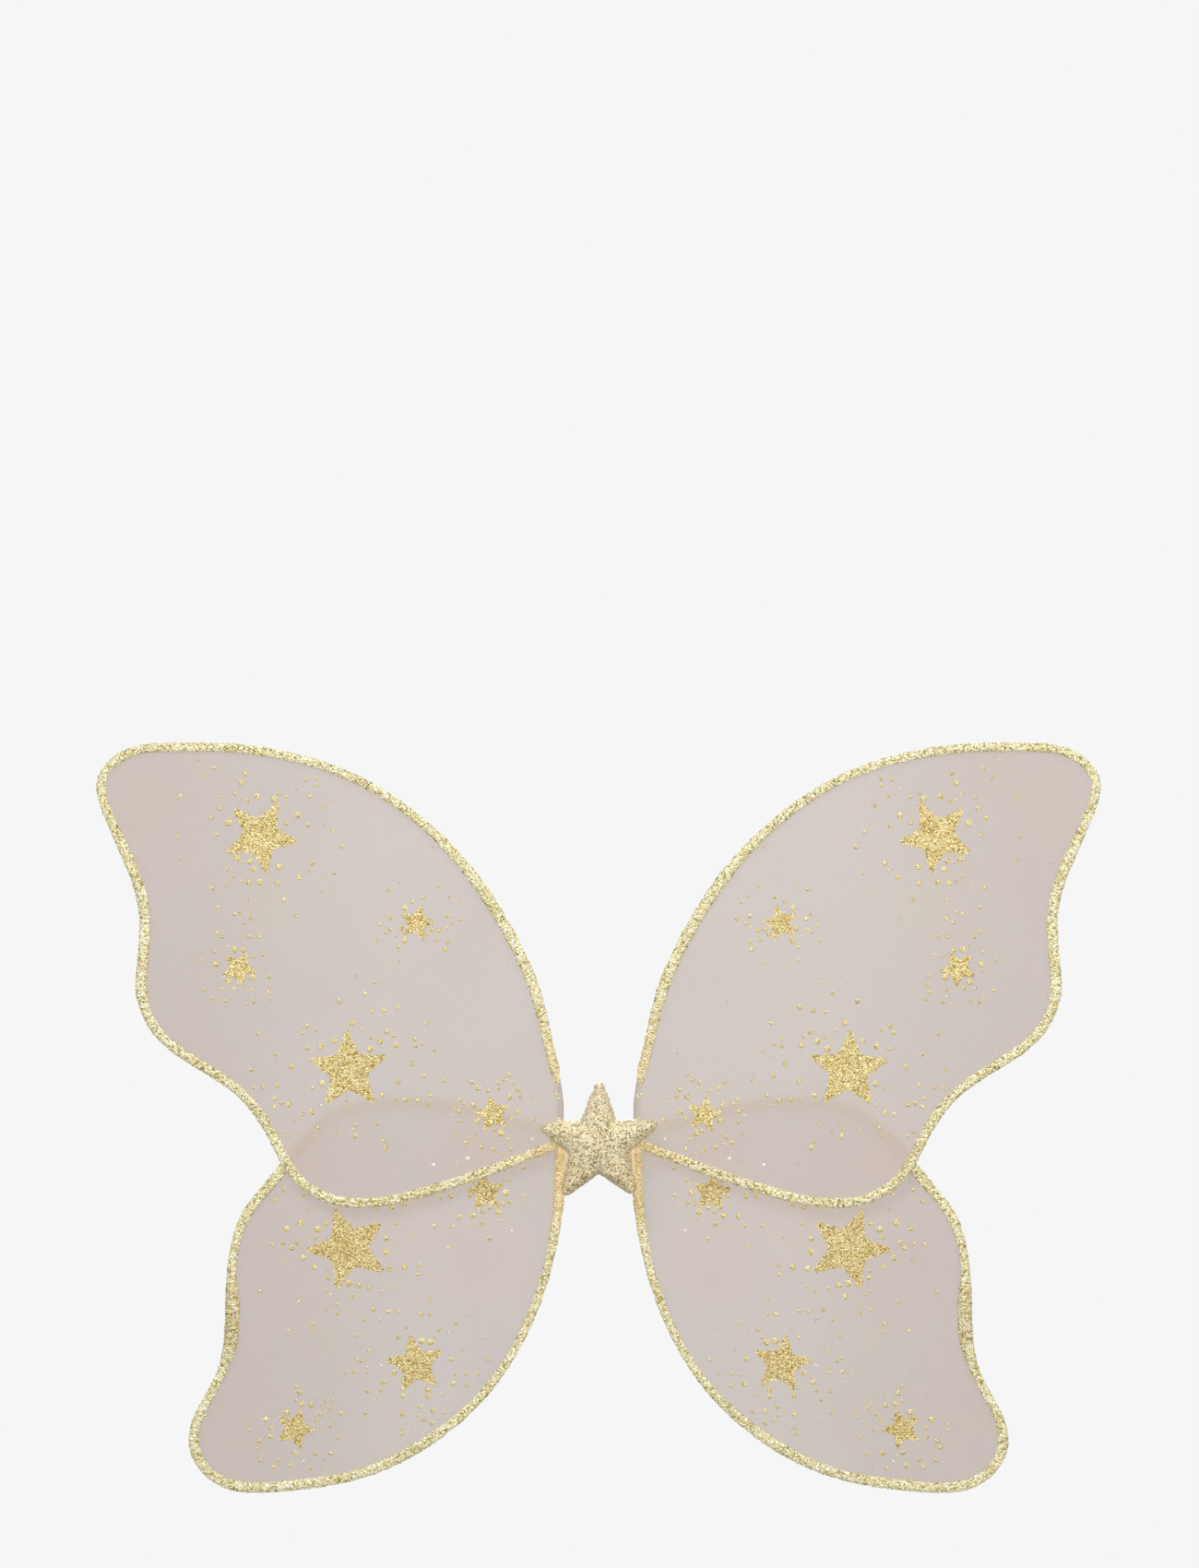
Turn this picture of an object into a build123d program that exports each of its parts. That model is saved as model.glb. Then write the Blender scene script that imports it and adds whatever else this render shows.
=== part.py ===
"""Fairy wings: four sheer mesh wings on steel wire loops, a stuffed star and two arm loops.

The wings are worn on the back. +Z is up, the star faces -Y and the wearer is on the +Y side.
The origin is the centre of the flat rear face of the back pad. All sizes are in millimetres.
"""

from build123d import *
from dataclasses import dataclass
from math import asin, cos, radians, sin, tan
import os

os.makedirs("parts", exist_ok=True)

# ---- driving dimensions -------------------------------------------------------------------
WIRE_R = 0.9  # spring steel wire, 1.8 mm across
FERRULE_R = 1.35
FERRULE_LENGTH = 7.0
FERRULE_GAP = 0.05  # between the ferrule's bore and the wire
WIRE_END_GAP = 0.2  # the two cut ends of a wire loop, inside the ferrule

TRIM_HALF_WIDTH = 2.7
TRIM_HALF_THICKNESS = 1.9
TRIM_BORE_R = 1.4  # room for the wire, the wrapped fabric edge and the ferrule

FABRIC_T = 0.25
FABRIC_SPACING = 0.9  # between the middles of the front and rear layers of one wing
PANEL_INSET = TRIM_HALF_WIDTH + 0.15
PANEL_STEPS = 6  # steps along each span of the outline, for the edge of a mesh panel
OUTLINE_SPANS = 6
PRINT_T = 0.3
PRINT_INNER_SHARE = 0.5  # inner corners of a printed star, as a share of its radius

UPPER_PLANE_Y = -11.0  # the upper wings lie in front of the lower ones
LOWER_PLANE_Y = -5.0

CHANNEL_BORE_R = WIRE_R + 0.06
CHANNEL_R = 2.3
CHANNEL_TAB_T = 1.0

PAD_HALF_WIDTH = 17.0
PAD_HALF_HEIGHT = 13.5
PAD_THICKNESS = 15.0
PAD_SEAM_Y = -8.0
PAD_CORNER_R = 2.5
COVER_T = 0.8

STAR_CENTRE_Z = 3.5
STAR_R = 32.0
STAR_INNER_R = 17.0
STAR_SEAM_Y = -21.5
STAR_FRONT_DEPTH = 11.5
STAR_FRONT_SCALE = 0.30  # size of the flat left at the front, as a share of the star
STAR_BACK_SCALE = 0.45
STAR_SKIN_INSET = 2.4  # how much smaller the inside of the star's skin is, at its tips
FIT_GAP = 0.1  # left between a filling and the skin round it

STRAP_T = 1.2
STRAP_WIDTH = 10.0
STRAP_LOOP_R = 20.0  # round far end of the arm loop
STRAP_REACH = 115.0  # from the fold line to the middle of the round end
STRAP_REST_ANGLE = 28.0  # behind the plane of the wings, at rest
STRAP_FOLD_X = 26.0
STRAP_FOLD_Y = -1.3
STRAP_NOSE_R = 1.25
STRAP_TAB_GAP = 0.3
STRAP_SLIT_X = 5.0  # where the two ends of the band begin to part
STRAP_SLIT_R = 0.15

THREAD_R = 0.4
STITCH_DEPTH = 1.6  # into the pad and into the star
STITCH_X = 5.0
STITCH_Z = 3.0


@dataclass
class Wing:
    """One right-hand wing: a wire loop that runs along its root, then round its outline."""

    name: str
    plane_y: float
    root_x: float
    corner_z: float  # where the leg that comes back would meet the root line
    corner_r: float
    leg_heading: float  # direction of that leg at the corner, degrees from +X
    way: int  # +1 if the root runs up from the corner, -1 if it runs down
    straight_to_z: float  # where the straight root ends and the outline begins
    trim_from_z: float
    channel_z: tuple
    ferrule_z: float
    outline: list
    stars: list  # (x, z, radius, lean in degrees)


UPPER = Wing(
    name="upper",
    plane_y=UPPER_PLANE_Y,
    root_x=20.5,
    corner_z=3.0,
    corner_r=5.0,
    leg_heading=159.0,
    way=1,
    straight_to_z=25.5,
    trim_from_z=26.0,
    channel_z=(6.4, 15.4),
    ferrule_z=20.5,
    outline=[
        (25.0, 47.5),
        (32.8, 80.0),
        (47.0, 113.5),
        (71.2, 151.0),
        (100.7, 180.4),
        (131.3, 200.0),
        (162.0, 211.0),
        (197.0, 216.8),
        (234.0, 217.3),
        (261.5, 210.5),
        (270.0, 196.5),
        (266.8, 183.5),
        (258.0, 163.5),
        (249.5, 143.3),
        (245.8, 117.5),
        (247.8, 87.5),
        (244.5, 72.0),
        (230.3, 54.8),
        (208.0, 40.5),
        (187.5, 23.5),
        (175.0, 3.5),
        (163.8, -15.5),
        (145.5, -27.3),
        (123.2, -29.4),
        (88.7, -21.9),
        (52.3, -9.4),
    ],
    stars=[
        (183.2, 169.3, 19.5, 27.5),
        (98.5, 122.1, 9.5, 14.0),
        (195.0, 97.5, 9.5, 28.0),
        (135.6, 42.5, 21.0, -2.5),
        (57.4, 18.5, 9.5, -10.0),
    ],
)

LOWER = Wing(
    name="lower",
    plane_y=LOWER_PLANE_Y,
    root_x=21.0,
    corner_z=8.3,
    corner_r=5.0,
    leg_heading=191.0,
    way=-1,
    straight_to_z=-17.0,
    trim_from_z=-8.2,
    channel_z=(-7.8, 3.2),
    ferrule_z=-12.5,
    outline=[
        (21.8, -31.0),
        (24.5, -50.0),
        (31.5, -77.5),
        (43.5, -105.5),
        (60.5, -131.0),
        (85.5, -154.0),
        (123.5, -174.8),
        (171.5, -183.6),
        (210.0, -177.5),
        (219.6, -161.0),
        (214.8, -141.5),
        (203.5, -118.5),
        (200.0, -97.5),
        (199.6, -75.0),
        (197.8, -56.0),
        (191.5, -37.0),
        (178.0, -19.5),
        (157.5, 5.5),
        (142.5, 17.5),
        (124.5, 23.3),
        (94.5, 24.3),
        (64.5, 19.0),
        (38.5, 12.0),
    ],
    stars=[
        (135.8, -54.4, 21.8, -20.0),
        (99.4, -117.4, 15.5, -9.0),
        (164.8, -152.6, 10.5, 20.0),
        (61.6, -24.2, 10.5, -7.0),
    ],
)


# ---- helpers ------------------------------------------------------------------------------
def at(y, x, z):
    """A point of a plane that stands at depth y."""
    return Vector(x, y, z)


def write(shape, name):
    export_step(shape, f"parts/{name}.step")


def write_both(shape, name):
    """The right-hand piece, and its mirror image as the left-hand one."""
    write(shape, f"right_{name}")
    write(mirror(shape, about=Plane.YZ), f"left_{name}")


def group(shapes):
    return Compound(children=list(shapes))


def slab(sketch, front_y, rear_y):
    """A flat sketch on Plane.XZ, made solid between two depths."""
    return extrude(Plane.XZ.offset(-rear_y) * sketch, amount=rear_y - front_y)


def star_sketch(outer_r, inner_r, lean=0.0):
    """A five-pointed star whose first point is up, leaning towards -X for a positive lean."""
    corners = []
    for k in range(10):
        r = outer_r if k % 2 == 0 else inner_r
        angle = radians(90 + lean + 36 * k)
        corners.append((r * cos(angle), r * sin(angle)))
    return make_face(Polyline(*corners, close=True))


def upright_cylinder(x, y, z_from, z_to, radius):
    return extrude(Plane((x, y, z_from)) * Circle(radius), amount=z_to - z_from)


# ---- wire loops and what follows them -----------------------------------------------------
def corner_ends(wing):
    """Where the bend at the corner begins on the leg and ends on the root."""
    heading = radians(wing.leg_heading)
    along = Vector(cos(heading), 0, sin(heading))
    up = Vector(0, 0, wing.way)
    turn = radians(along.get_angle(up))
    reach = wing.corner_r * tan(turn / 2)
    corner = at(wing.plane_y, wing.root_x, wing.corner_z)
    return corner - along * reach, corner + up * reach, along


def outline_edges(wing):
    """The long curve round the wing, from the top of the root to the bend at the corner, in spans."""
    leg_end, _, along = corner_ends(wing)
    start = at(wing.plane_y, wing.root_x, wing.straight_to_z)
    points = [start, *[at(wing.plane_y, x, z) for x, z in wing.outline], leg_end]
    whole = Spline(*points, tangents=[Vector(0, 0, wing.way), along])
    return [whole.trim(k / OUTLINE_SPANS, (k + 1) / OUTLINE_SPANS) for k in range(OUTLINE_SPANS)]


def corner_edge(wing):
    """The bend from the leg into the root, as one arc tangent to both."""
    leg_end, root_start, along = corner_ends(wing)
    return TangentArc(leg_end, root_start, tangent=along)


def root_line(wing, z_from, z_to):
    return Line(at(wing.plane_y, wing.root_x, z_from), at(wing.plane_y, wing.root_x, z_to))


def tube_along(path, section):
    start = Plane(path @ 0, x_dir=Vector(0, 1, 0), z_dir=path % 0)
    return sweep(start * section, path=path)


def wire_frame(wing):
    """The wire: it starts in the ferrule, runs round the wing and comes back to the ferrule."""
    _, root_start, _ = corner_ends(wing)
    out = root_line(wing, wing.ferrule_z + wing.way * WIRE_END_GAP / 2, wing.straight_to_z)
    back = root_line(wing, root_start.Z, wing.ferrule_z - wing.way * WIRE_END_GAP / 2)
    path = Wire([out, *outline_edges(wing), corner_edge(wing), back])
    return tube_along(path, Circle(WIRE_R))


def wire_ferrule(wing):
    low = wing.ferrule_z - FERRULE_LENGTH / 2
    high = wing.ferrule_z + FERRULE_LENGTH / 2
    outside = upright_cylinder(wing.root_x, wing.plane_y, low, high, FERRULE_R)
    return outside - upright_cylinder(wing.root_x, wing.plane_y, low, high, WIRE_R + FERRULE_GAP)


def edge_trim(wing):
    """The raised glitter edging, an oval tube over the wrapped wire."""
    path = outline_edges(wing)
    if wing.way * (wing.straight_to_z - wing.trim_from_z) > 0:
        path = [root_line(wing, wing.trim_from_z, wing.straight_to_z), *path]
    section = Ellipse(TRIM_HALF_THICKNESS, TRIM_HALF_WIDTH) - Circle(TRIM_BORE_R)
    return tube_along(Wire(path), section)


def panel_face(wing):
    """The flat area inside the edging: the wing's outline, stepped inwards all round."""
    sideways = Vector(0, -wing.way, 0)

    def inwards(point, tangent):
        return point + tangent.cross(sideways) * PANEL_INSET

    leg_end, root_start, along = corner_ends(wing)
    shares = [k / PANEL_STEPS for k in range(PANEL_STEPS + 1)]
    curves = [
        Spline(*[inwards(span @ t, span % t) for t in shares], tangents=[span % 0, span % 1])
        for span in outline_edges(wing)
    ]
    bend = TangentArc(inwards(leg_end, along), inwards(root_start, Vector(0, 0, wing.way)), tangent=along)
    root = Line(bend @ 1, curves[0] @ 0)
    return make_face(Wire([*curves, bend, root]))


def mesh_layer(wing, offset_y):
    """One layer of mesh fabric, whose middle is offset_y behind the plane of the wire."""
    face = Pos(0, offset_y + FABRIC_T / 2, 0) * panel_face(wing)
    return extrude(face, amount=FABRIC_T, dir=(0, -1, 0))


def printed_stars(wing):
    """The glitter stars printed on the front layer."""
    rear_y = wing.plane_y - FABRIC_SPACING / 2 - FABRIC_T / 2
    return group(
        slab(Pos(x, z) * star_sketch(r, r * PRINT_INNER_SHARE, lean), rear_y - PRINT_T, rear_y)
        for x, z, r, lean in wing.stars
    )


def wire_channel(wing):
    """The sewn tube that holds the root of the wire, with the tab that joins it to the pad."""
    low, high = wing.channel_z
    tube = upright_cylinder(wing.root_x, wing.plane_y, low, high, CHANNEL_R)
    tab = Pos((PAD_HALF_WIDTH + wing.root_x) / 2, wing.plane_y, (low + high) / 2) * Box(
        wing.root_x - PAD_HALF_WIDTH, CHANNEL_TAB_T, high - low
    )
    bore = upright_cylinder(wing.root_x, wing.plane_y, low, high, CHANNEL_BORE_R)
    return tube + tab - bore


def make_wing(wing):
    write_both(wire_frame(wing), f"{wing.name}_wire_frame")
    write_both(wire_ferrule(wing), f"{wing.name}_wire_ferrule")
    write_both(edge_trim(wing), f"{wing.name}_edge_trim")
    write_both(mesh_layer(wing, -FABRIC_SPACING / 2), f"{wing.name}_front_mesh")
    write_both(mesh_layer(wing, FABRIC_SPACING / 2), f"{wing.name}_rear_mesh")
    write_both(printed_stars(wing), f"{wing.name}_glitter_stars")
    write_both(wire_channel(wing), f"{wing.name}_wire_channel")


# ---- back pad -----------------------------------------------------------------------------
def pad_block(front_y, rear_y, inset=0.0):
    sketch = RectangleRounded(
        2 * (PAD_HALF_WIDTH - inset), 2 * (PAD_HALF_HEIGHT - inset), PAD_CORNER_R - inset
    )
    return slab(sketch, front_y, rear_y)


def make_pad():
    """A foam block between two stitched fabric shells that meet at a seam round its sides."""
    inside = pad_block(-PAD_THICKNESS + COVER_T, -COVER_T, COVER_T)
    write(pad_block(PAD_SEAM_Y, 0) - inside, "pad_rear_cover")
    write(pad_block(-PAD_THICKNESS, PAD_SEAM_Y) - inside, "pad_front_cover")
    foam_inset = COVER_T + FIT_GAP
    write(pad_block(-PAD_THICKNESS + foam_inset, -foam_inset, foam_inset), "pad_foam")


# ---- stuffed star -------------------------------------------------------------------------
def half_star(seam_y, flat_y, flat_scale, smaller=0.0):
    """A star that narrows from its seam to a small flat; smaller shrinks it all round."""
    outer_r, inner_r = STAR_R - smaller, STAR_INNER_R - smaller / 2
    seam = star_sketch(outer_r, inner_r)
    flat = star_sketch(outer_r * flat_scale, inner_r * flat_scale)
    centre = Pos(0, STAR_CENTRE_Z)
    faces = [Plane.XZ.offset(-seam_y) * centre * seam, Plane.XZ.offset(-flat_y) * centre * flat]
    return loft(faces, ruled=True)


def make_star():
    """Two glitter fabric skins joined at a seam, with loose stuffing between them."""
    front_y = STAR_SEAM_Y - STAR_FRONT_DEPTH
    back_y = -PAD_THICKNESS
    front = half_star(STAR_SEAM_Y, front_y, STAR_FRONT_SCALE)
    back = half_star(STAR_SEAM_Y, back_y, STAR_BACK_SCALE)
    room = STAR_SKIN_INSET
    front_room = half_star(STAR_SEAM_Y, front_y + COVER_T, STAR_FRONT_SCALE, room)
    back_room = half_star(STAR_SEAM_Y, back_y - COVER_T, STAR_BACK_SCALE, room)
    write(front - front_room, "star_front_skin")
    write(back - back_room, "star_back_skin")
    tight = room + 4 * FIT_GAP
    stuffing = half_star(STAR_SEAM_Y, front_y + COVER_T + FIT_GAP, STAR_FRONT_SCALE, tight)
    stuffing += half_star(STAR_SEAM_Y, back_y - COVER_T - FIT_GAP, STAR_BACK_SCALE, tight)
    write(stuffing, "star_stuffing")


def make_star_stitches():
    """Four bars of thread that tie the back of the star to the front of the pad."""
    bar = Plane.XZ * Circle(THREAD_R)
    bars = [
        Pos(x, -PAD_THICKNESS + STITCH_DEPTH, STAR_CENTRE_Z + z) * extrude(bar, amount=2 * STITCH_DEPTH)
        for x in (-STITCH_X, STITCH_X)
        for z in (-STITCH_Z, STITCH_Z)
    ]
    write(group(bars), "star_stitches")


# ---- arm loops ----------------------------------------------------------------------------
def hull_of(circle, far_circle):
    return make_hull(circle.edges() + far_circle.edges())


def strap_loop():
    """A flat elastic band whose two ends are laid together, so that it opens like a drop."""
    far = Pos(STRAP_REACH, 0)
    half = STRAP_T / 2
    outside = hull_of(Circle(STRAP_NOSE_R), far * Circle(STRAP_LOOP_R + half))
    inside = hull_of(Pos(STRAP_SLIT_X, 0) * Circle(STRAP_SLIT_R), far * Circle(STRAP_LOOP_R - half))
    band = extrude(outside - inside, amount=STRAP_WIDTH / 2, both=True)
    place = Pos(STRAP_FOLD_X, STRAP_FOLD_Y, 0) * Rot(0, 0, STRAP_REST_ANGLE)
    return place * band


def strap_end():
    """The sewn ends of the band, from the side of the pad to the fold line."""
    near_x = PAD_HALF_WIDTH
    far_x = STRAP_FOLD_X - STRAP_NOSE_R - STRAP_TAB_GAP / 2
    tab = Box(far_x - near_x, 2 * STRAP_T, STRAP_WIDTH)
    return Pos((near_x + far_x) / 2, STRAP_FOLD_Y, 0) * tab


def make_straps():
    write_both(strap_loop(), "arm_loop")
    write_both(strap_end(), "arm_loop_end")


def band_length():
    """Length of elastic in one arm loop, from seam to seam."""
    straight = 2 * (STRAP_REACH**2 - STRAP_LOOP_R**2) ** 0.5
    return straight + STRAP_LOOP_R * (radians(180) + 2 * asin(STRAP_LOOP_R / STRAP_REACH))


make_wing(UPPER)
make_wing(LOWER)
make_pad()
make_star()
make_star_stitches()
make_straps()
print(f"arm loop band length {band_length():.0f} mm")
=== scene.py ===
import math

import bpy
import numpy as np
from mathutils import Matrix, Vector, kdtree, noise
from mathutils.bvhtree import BVHTree
from mathutils.geometry import delaunay_2d_cdt


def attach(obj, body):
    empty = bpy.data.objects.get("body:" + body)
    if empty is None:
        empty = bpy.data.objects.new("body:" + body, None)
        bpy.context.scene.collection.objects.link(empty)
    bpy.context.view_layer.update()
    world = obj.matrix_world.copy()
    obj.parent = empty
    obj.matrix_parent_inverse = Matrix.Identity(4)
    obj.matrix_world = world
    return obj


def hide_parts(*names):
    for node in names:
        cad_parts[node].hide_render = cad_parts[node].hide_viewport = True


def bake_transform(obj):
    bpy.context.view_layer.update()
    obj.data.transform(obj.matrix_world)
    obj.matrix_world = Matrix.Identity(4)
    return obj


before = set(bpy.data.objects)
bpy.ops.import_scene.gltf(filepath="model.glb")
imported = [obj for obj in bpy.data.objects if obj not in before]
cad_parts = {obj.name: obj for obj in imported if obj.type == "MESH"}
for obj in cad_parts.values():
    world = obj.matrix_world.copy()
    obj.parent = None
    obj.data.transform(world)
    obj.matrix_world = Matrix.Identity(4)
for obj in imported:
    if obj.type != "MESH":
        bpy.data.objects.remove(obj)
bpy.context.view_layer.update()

# Sizes below are in millimetres. add_mesh turns them into metres.
MM = 0.001
SIDES = {"right": 1.0, "left": -1.0}
WIRE_INSET = 2.85  # from the wire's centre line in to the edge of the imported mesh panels
WRAP_R = 1.12  # outside of the fabric that is wrapped round the wire
FERRULE_WRAP_R = 1.55
LAYER_Y = 0.45  # each fabric layer lies this far from the plane of the wire
FLAT_EDGE = 3.4  # from the wire in to where the flat part of the cloth ends
# The cloth on its way up to the wrap: how far from the wire, the share of the way up, and its edge tint.
RISE = [(-2.3, 0.32, 0.5), (-1.35, 0.8, 1.0)]
ROUND = (-0.7, 0.0, 0.72, 1.0)  # then over the wrap: how far from the wire, in radii of the wrap
EDGING_HALF_WIDTH = 2.7
EDGING_HALF_THICKNESS = 1.65
EDGING_SIDES = 27
SPARSE = 21  # length of the upper wing's inner edge that has only loose grains
GRAIN = 0.55  # size of the facets of the glitter surfaces
SLEEVE_R = 2.2
SLEEVE_BORE_R = 1.15
# The sleeve's two edges, sewn to the side of the pad: x, and y from the plane of the wire.
SLEEVE_EDGES = [(18.1, 0.62), (17.3, 0.6), (16.6, 0.6), (16.6, -0.6), (17.3, -0.6), (18.1, -0.62)]
STAR_CENTRE_Z = 3.5
STAR_SEAM_Y = -21.5
STAR_FRONT = 11.3  # how far the filled star stands in front of its seam, and behind it
STAR_BACK = 6.2
PAD_HALF = (16.2, 7.0, 12.7)  # the pad before it is filled
PAD_LOW, PAD_HIGH = (-17.3, -14.9, -13.8), (17.3, -0.05, 13.8)  # where it may swell to
PAD_MIDDLE_Y = -7.5
PAD_SEAM_Y = -8.0
FILL_FRAMES = 26  # of the simulation that swells the star and the pad
BAND_HALF_WIDTH = 4.95
BAND_HALF_THICKNESS = 0.52
BAND_RIBS = 9
BAND_FOLD = (26.0, -1.3)  # x and y of the line that the arm loop swings about
BAND_LEAN = 28.0  # degrees back from the wings
BAND_REACH = 115.0  # from the fold to the middle of the loop's round end
BAND_LOOP_R = 20.0
BAND_APART = 0.62  # each side of the band's two ends, which are laid together, from their middle
WAVE_PERIOD = 0.31416  # period of a wave texture at a scale of 1
STUDIO = (246, 246, 246)
WORLD_LIGHT = 0.56

# The right-hand wings, in x and z. way is 1 where the wing goes up from its root and -1 where it goes down.
# edging_from and leg_end are where the glitter edging starts and ends at the root. channel is the sleeve's
# bottom and top. A star is x, z, radius and lean in degrees; a pearl dot is x, z and size; and a pink or
# green zone is x, z and reach.
WINGS = {
    "upper": {
        "plane": -11.0, "root": 20.5, "way": 1, "edging_from": 15.9, "leg_end": (23.7, 1.8),
        "channel": (6.4, 15.4), "ferrule": 20.5,
        "stars": [(183.2, 169.3, 19.5, 27.5), (98.5, 122.1, 9.5, 14.0), (195.0, 97.5, 9.5, 28.0),
                  (135.6, 42.5, 21.0, -2.5), (57.4, 18.5, 9.5, -10.0)],
        "pearls": [(89.5, -9.0, 1.3), (71.0, -5.5, 1.4), (79.0, 18.0, 0.7), (36.0, 5.0, 0.9)],
        "pink": [(243.0, 170.0, 24.0), (150.0, -8.0, 26.0), (64.0, -2.0, 22.0)],
        "green": [(250.0, 198.0, 20.0), (215.0, 205.0, 26.0), (180.0, 128.0, 30.0), (96.0, 78.0, 26.0)],
    },
    "lower": {
        "plane": -5.0, "root": 21.0, "way": -1, "edging_from": -7.7, "leg_end": (25.05, 9.1),
        "channel": (-7.8, 3.2), "ferrule": -12.5,
        "stars": [(135.8, -54.4, 21.8, -20.0), (99.4, -117.4, 15.5, -9.0),
                  (164.8, -152.6, 10.5, 20.0), (61.6, -24.2, 10.5, -7.0)],
        "pearls": [(47.0, -45.0, 1.0), (118.0, -118.0, 0.8), (160.0, -170.0, 0.8)],
        "pink": [(208.0, -136.0, 26.0), (112.0, -34.0, 30.0), (168.0, -64.0, 22.0), (60.0, -60.0, 28.0)],
        "green": [(112.0, -158.0, 26.0), (196.0, -168.0, 24.0), (150.0, -104.0, 26.0)],
    },
}


# ---- node materials -------------------------------------------------------------------------
def srgb(colour):
    """An sRGB colour of 0 to 255, as linear values."""
    return tuple(((c / 255 + 0.055) / 1.055) ** 2.4 if c > 10 else c / 3294.6 for c in colour)


class Nodes:
    """A material's node tree, with short calls for the nodes used here. Tuples given are sRGB colours."""

    def __init__(self, name):
        self.material = bpy.data.materials.new(name)
        self.material.use_nodes = True
        self.tree = self.material.node_tree
        self.surface = self.tree.nodes["Principled BSDF"]
        self.place = self.tree.nodes.new("ShaderNodeTexCoord").outputs["Object"]

    def add(self, kind, **settings):
        node = self.tree.nodes.new(kind)
        for key, value in settings.items():
            setattr(node, key, value)
        return node

    def link(self, source, target):
        self.tree.links.new(source, target)

    def set(self, **values):
        for key, value in values.items():
            self.surface.inputs[key.replace("_", " ")].default_value = value

    def texture(self, kind, scale, place, **settings):
        node = self.add(kind, **settings)
        node.inputs["Scale"].default_value = scale
        self.link(place, node.inputs["Vector"])
        return node

    def noise(self, size, detail=2.0, stretch=None):
        """Soft noise whose lumps are about this size, in millimetres."""
        place = self.place
        if stretch is not None:
            mapping = self.add("ShaderNodeMapping")
            mapping.inputs["Scale"].default_value = stretch
            self.link(self.place, mapping.inputs["Vector"])
            place = mapping.outputs["Vector"]
        node = self.texture("ShaderNodeTexNoise", 1 / (size * MM), place)
        node.inputs["Detail"].default_value = detail
        return node.outputs["Fac"]

    def cells(self, size):
        """Two random values for each grain of this size, in millimetres, and the distance to its middle."""
        node = self.texture("ShaderNodeTexVoronoi", 1 / (size * MM), self.place)
        split = self.add("ShaderNodeSeparateColor")
        self.link(node.outputs["Color"], split.inputs["Color"])
        return split.outputs["Red"], split.outputs["Green"], node.outputs["Distance"]

    def threads(self, pitch, direction, uneven=0.5):
        """Parallel threads this far apart, in millimetres."""
        scale = WAVE_PERIOD / (pitch * MM)
        node = self.texture("ShaderNodeTexWave", scale, self.place, bands_direction=direction)
        node.inputs["Distortion"].default_value = uneven
        return node.outputs["Fac"]

    def ramp(self, fac, stops):
        node = self.add("ShaderNodeValToRGB")
        ramp = node.color_ramp
        while len(ramp.elements) < len(stops):
            ramp.elements.new(0.5)
        for element, (position, colour) in zip(ramp.elements, stops):
            element.position = position
            element.color = (*srgb(colour), 1.0)
        self.link(fac, node.inputs["Fac"])
        return node.outputs["Color"]

    def mix(self, fac, first, second, blend="MIX"):
        node = self.add("ShaderNodeMix", data_type="RGBA", blend_type=blend)
        for value, key in ((fac, 0), (first, 6), (second, 7)):
            self.give(node.inputs[key], value)
        return node.outputs[2]

    def give(self, socket, value):
        if isinstance(value, bpy.types.NodeSocket):
            self.link(value, socket)
        elif isinstance(value, tuple):
            socket.default_value = (*srgb(value), 1.0)
        else:
            socket.default_value = value

    def math(self, operation, first, second):
        node = self.add("ShaderNodeMath", operation=operation)
        self.give(node.inputs[0], first)
        self.give(node.inputs[1], second)
        return node.outputs[0]

    def plus(self, first, second):
        return self.math("ADD", first, second)

    def times(self, first, second):
        return self.math("MULTIPLY", first, second)

    def rescale(self, value, low, high, to_low=0.0, to_high=1.0):
        node = self.add("ShaderNodeMapRange")
        for socket, given in zip(node.inputs, (value, low, high, to_low, to_high)):
            self.give(socket, given)
        return node.outputs[0]

    def attribute(self, name):
        return self.add("ShaderNodeAttribute", attribute_name=name).outputs["Fac"]

    def bump(self, height, distance, strength):
        """Relief from a height of 0 to 1 that stands for this many millimetres."""
        node = self.add("ShaderNodeBump")
        node.inputs["Strength"].default_value = strength
        node.inputs["Distance"].default_value = distance * MM
        self.link(height, node.inputs["Height"])
        self.link(node.outputs["Normal"], self.surface.inputs["Normal"])

    def colour(self, source):
        self.link(source, self.surface.inputs["Base Color"])

    def roughness(self, source):
        self.link(source, self.surface.inputs["Roughness"])


def darker(colour, share):
    return tuple(c * share for c in colour)


def flakes_of(m, size, stops):
    """Grains of foil, bright in the middle with darker gaps: their colour, height and a random value."""
    shade, tilt, far = m.cells(size)
    fine = m.cells(size * 0.45)[0]
    bead = m.rescale(far, 0.15, 0.65, 1.0, 0.0)
    mixed = m.plus(m.times(shade, 0.5), m.times(fine, 0.2))
    value = m.rescale(m.plus(mixed, m.times(bead, 0.3)), 0.12, 0.86)
    return m.ramp(value, stops), m.plus(shade, m.times(bead, 0.8)), tilt


def glitter(name, stops, size, metallic, rough, warm_tint_and_highlight, deep, dull):
    """Crushed foil flakes in clear binder. The mesh attribute tone runs from warm (-1) to deep (+1); on the
    star they are painted highlight and painted shade.
    """
    m = Nodes(name)
    flakes, height, tilt = flakes_of(m, size, stops)
    patch = m.rescale(m.noise(9.0, 3.0), 0.35, 0.65, 0.0, dull)
    flakes = m.mix(patch, flakes, (214, 196, 132), "MULTIPLY")
    tone = m.attribute("tone")
    tint_and_highlight_share = m.rescale(m.times(tone, -1.0), 0.0, 1.0, 0.0, 0.62)
    depth = m.rescale(tone, 0.0, 1.0, 0.0, 0.6)
    flakes = m.mix(tint_and_highlight_share, flakes, warm_tint_and_highlight)
    m.colour(m.mix(depth, flakes, m.mix(0.6, flakes, deep, "MULTIPLY")))
    m.set(Metallic=metallic, Coat_Weight=0.25, Coat_Roughness=0.25, Specular_IOR_Level=0.6)
    m.roughness(m.rescale(tilt, 0.0, 1.0, rough - 0.16, rough + 0.22))
    m.bump(height, 0.22, 0.9)
    return m.material
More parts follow.
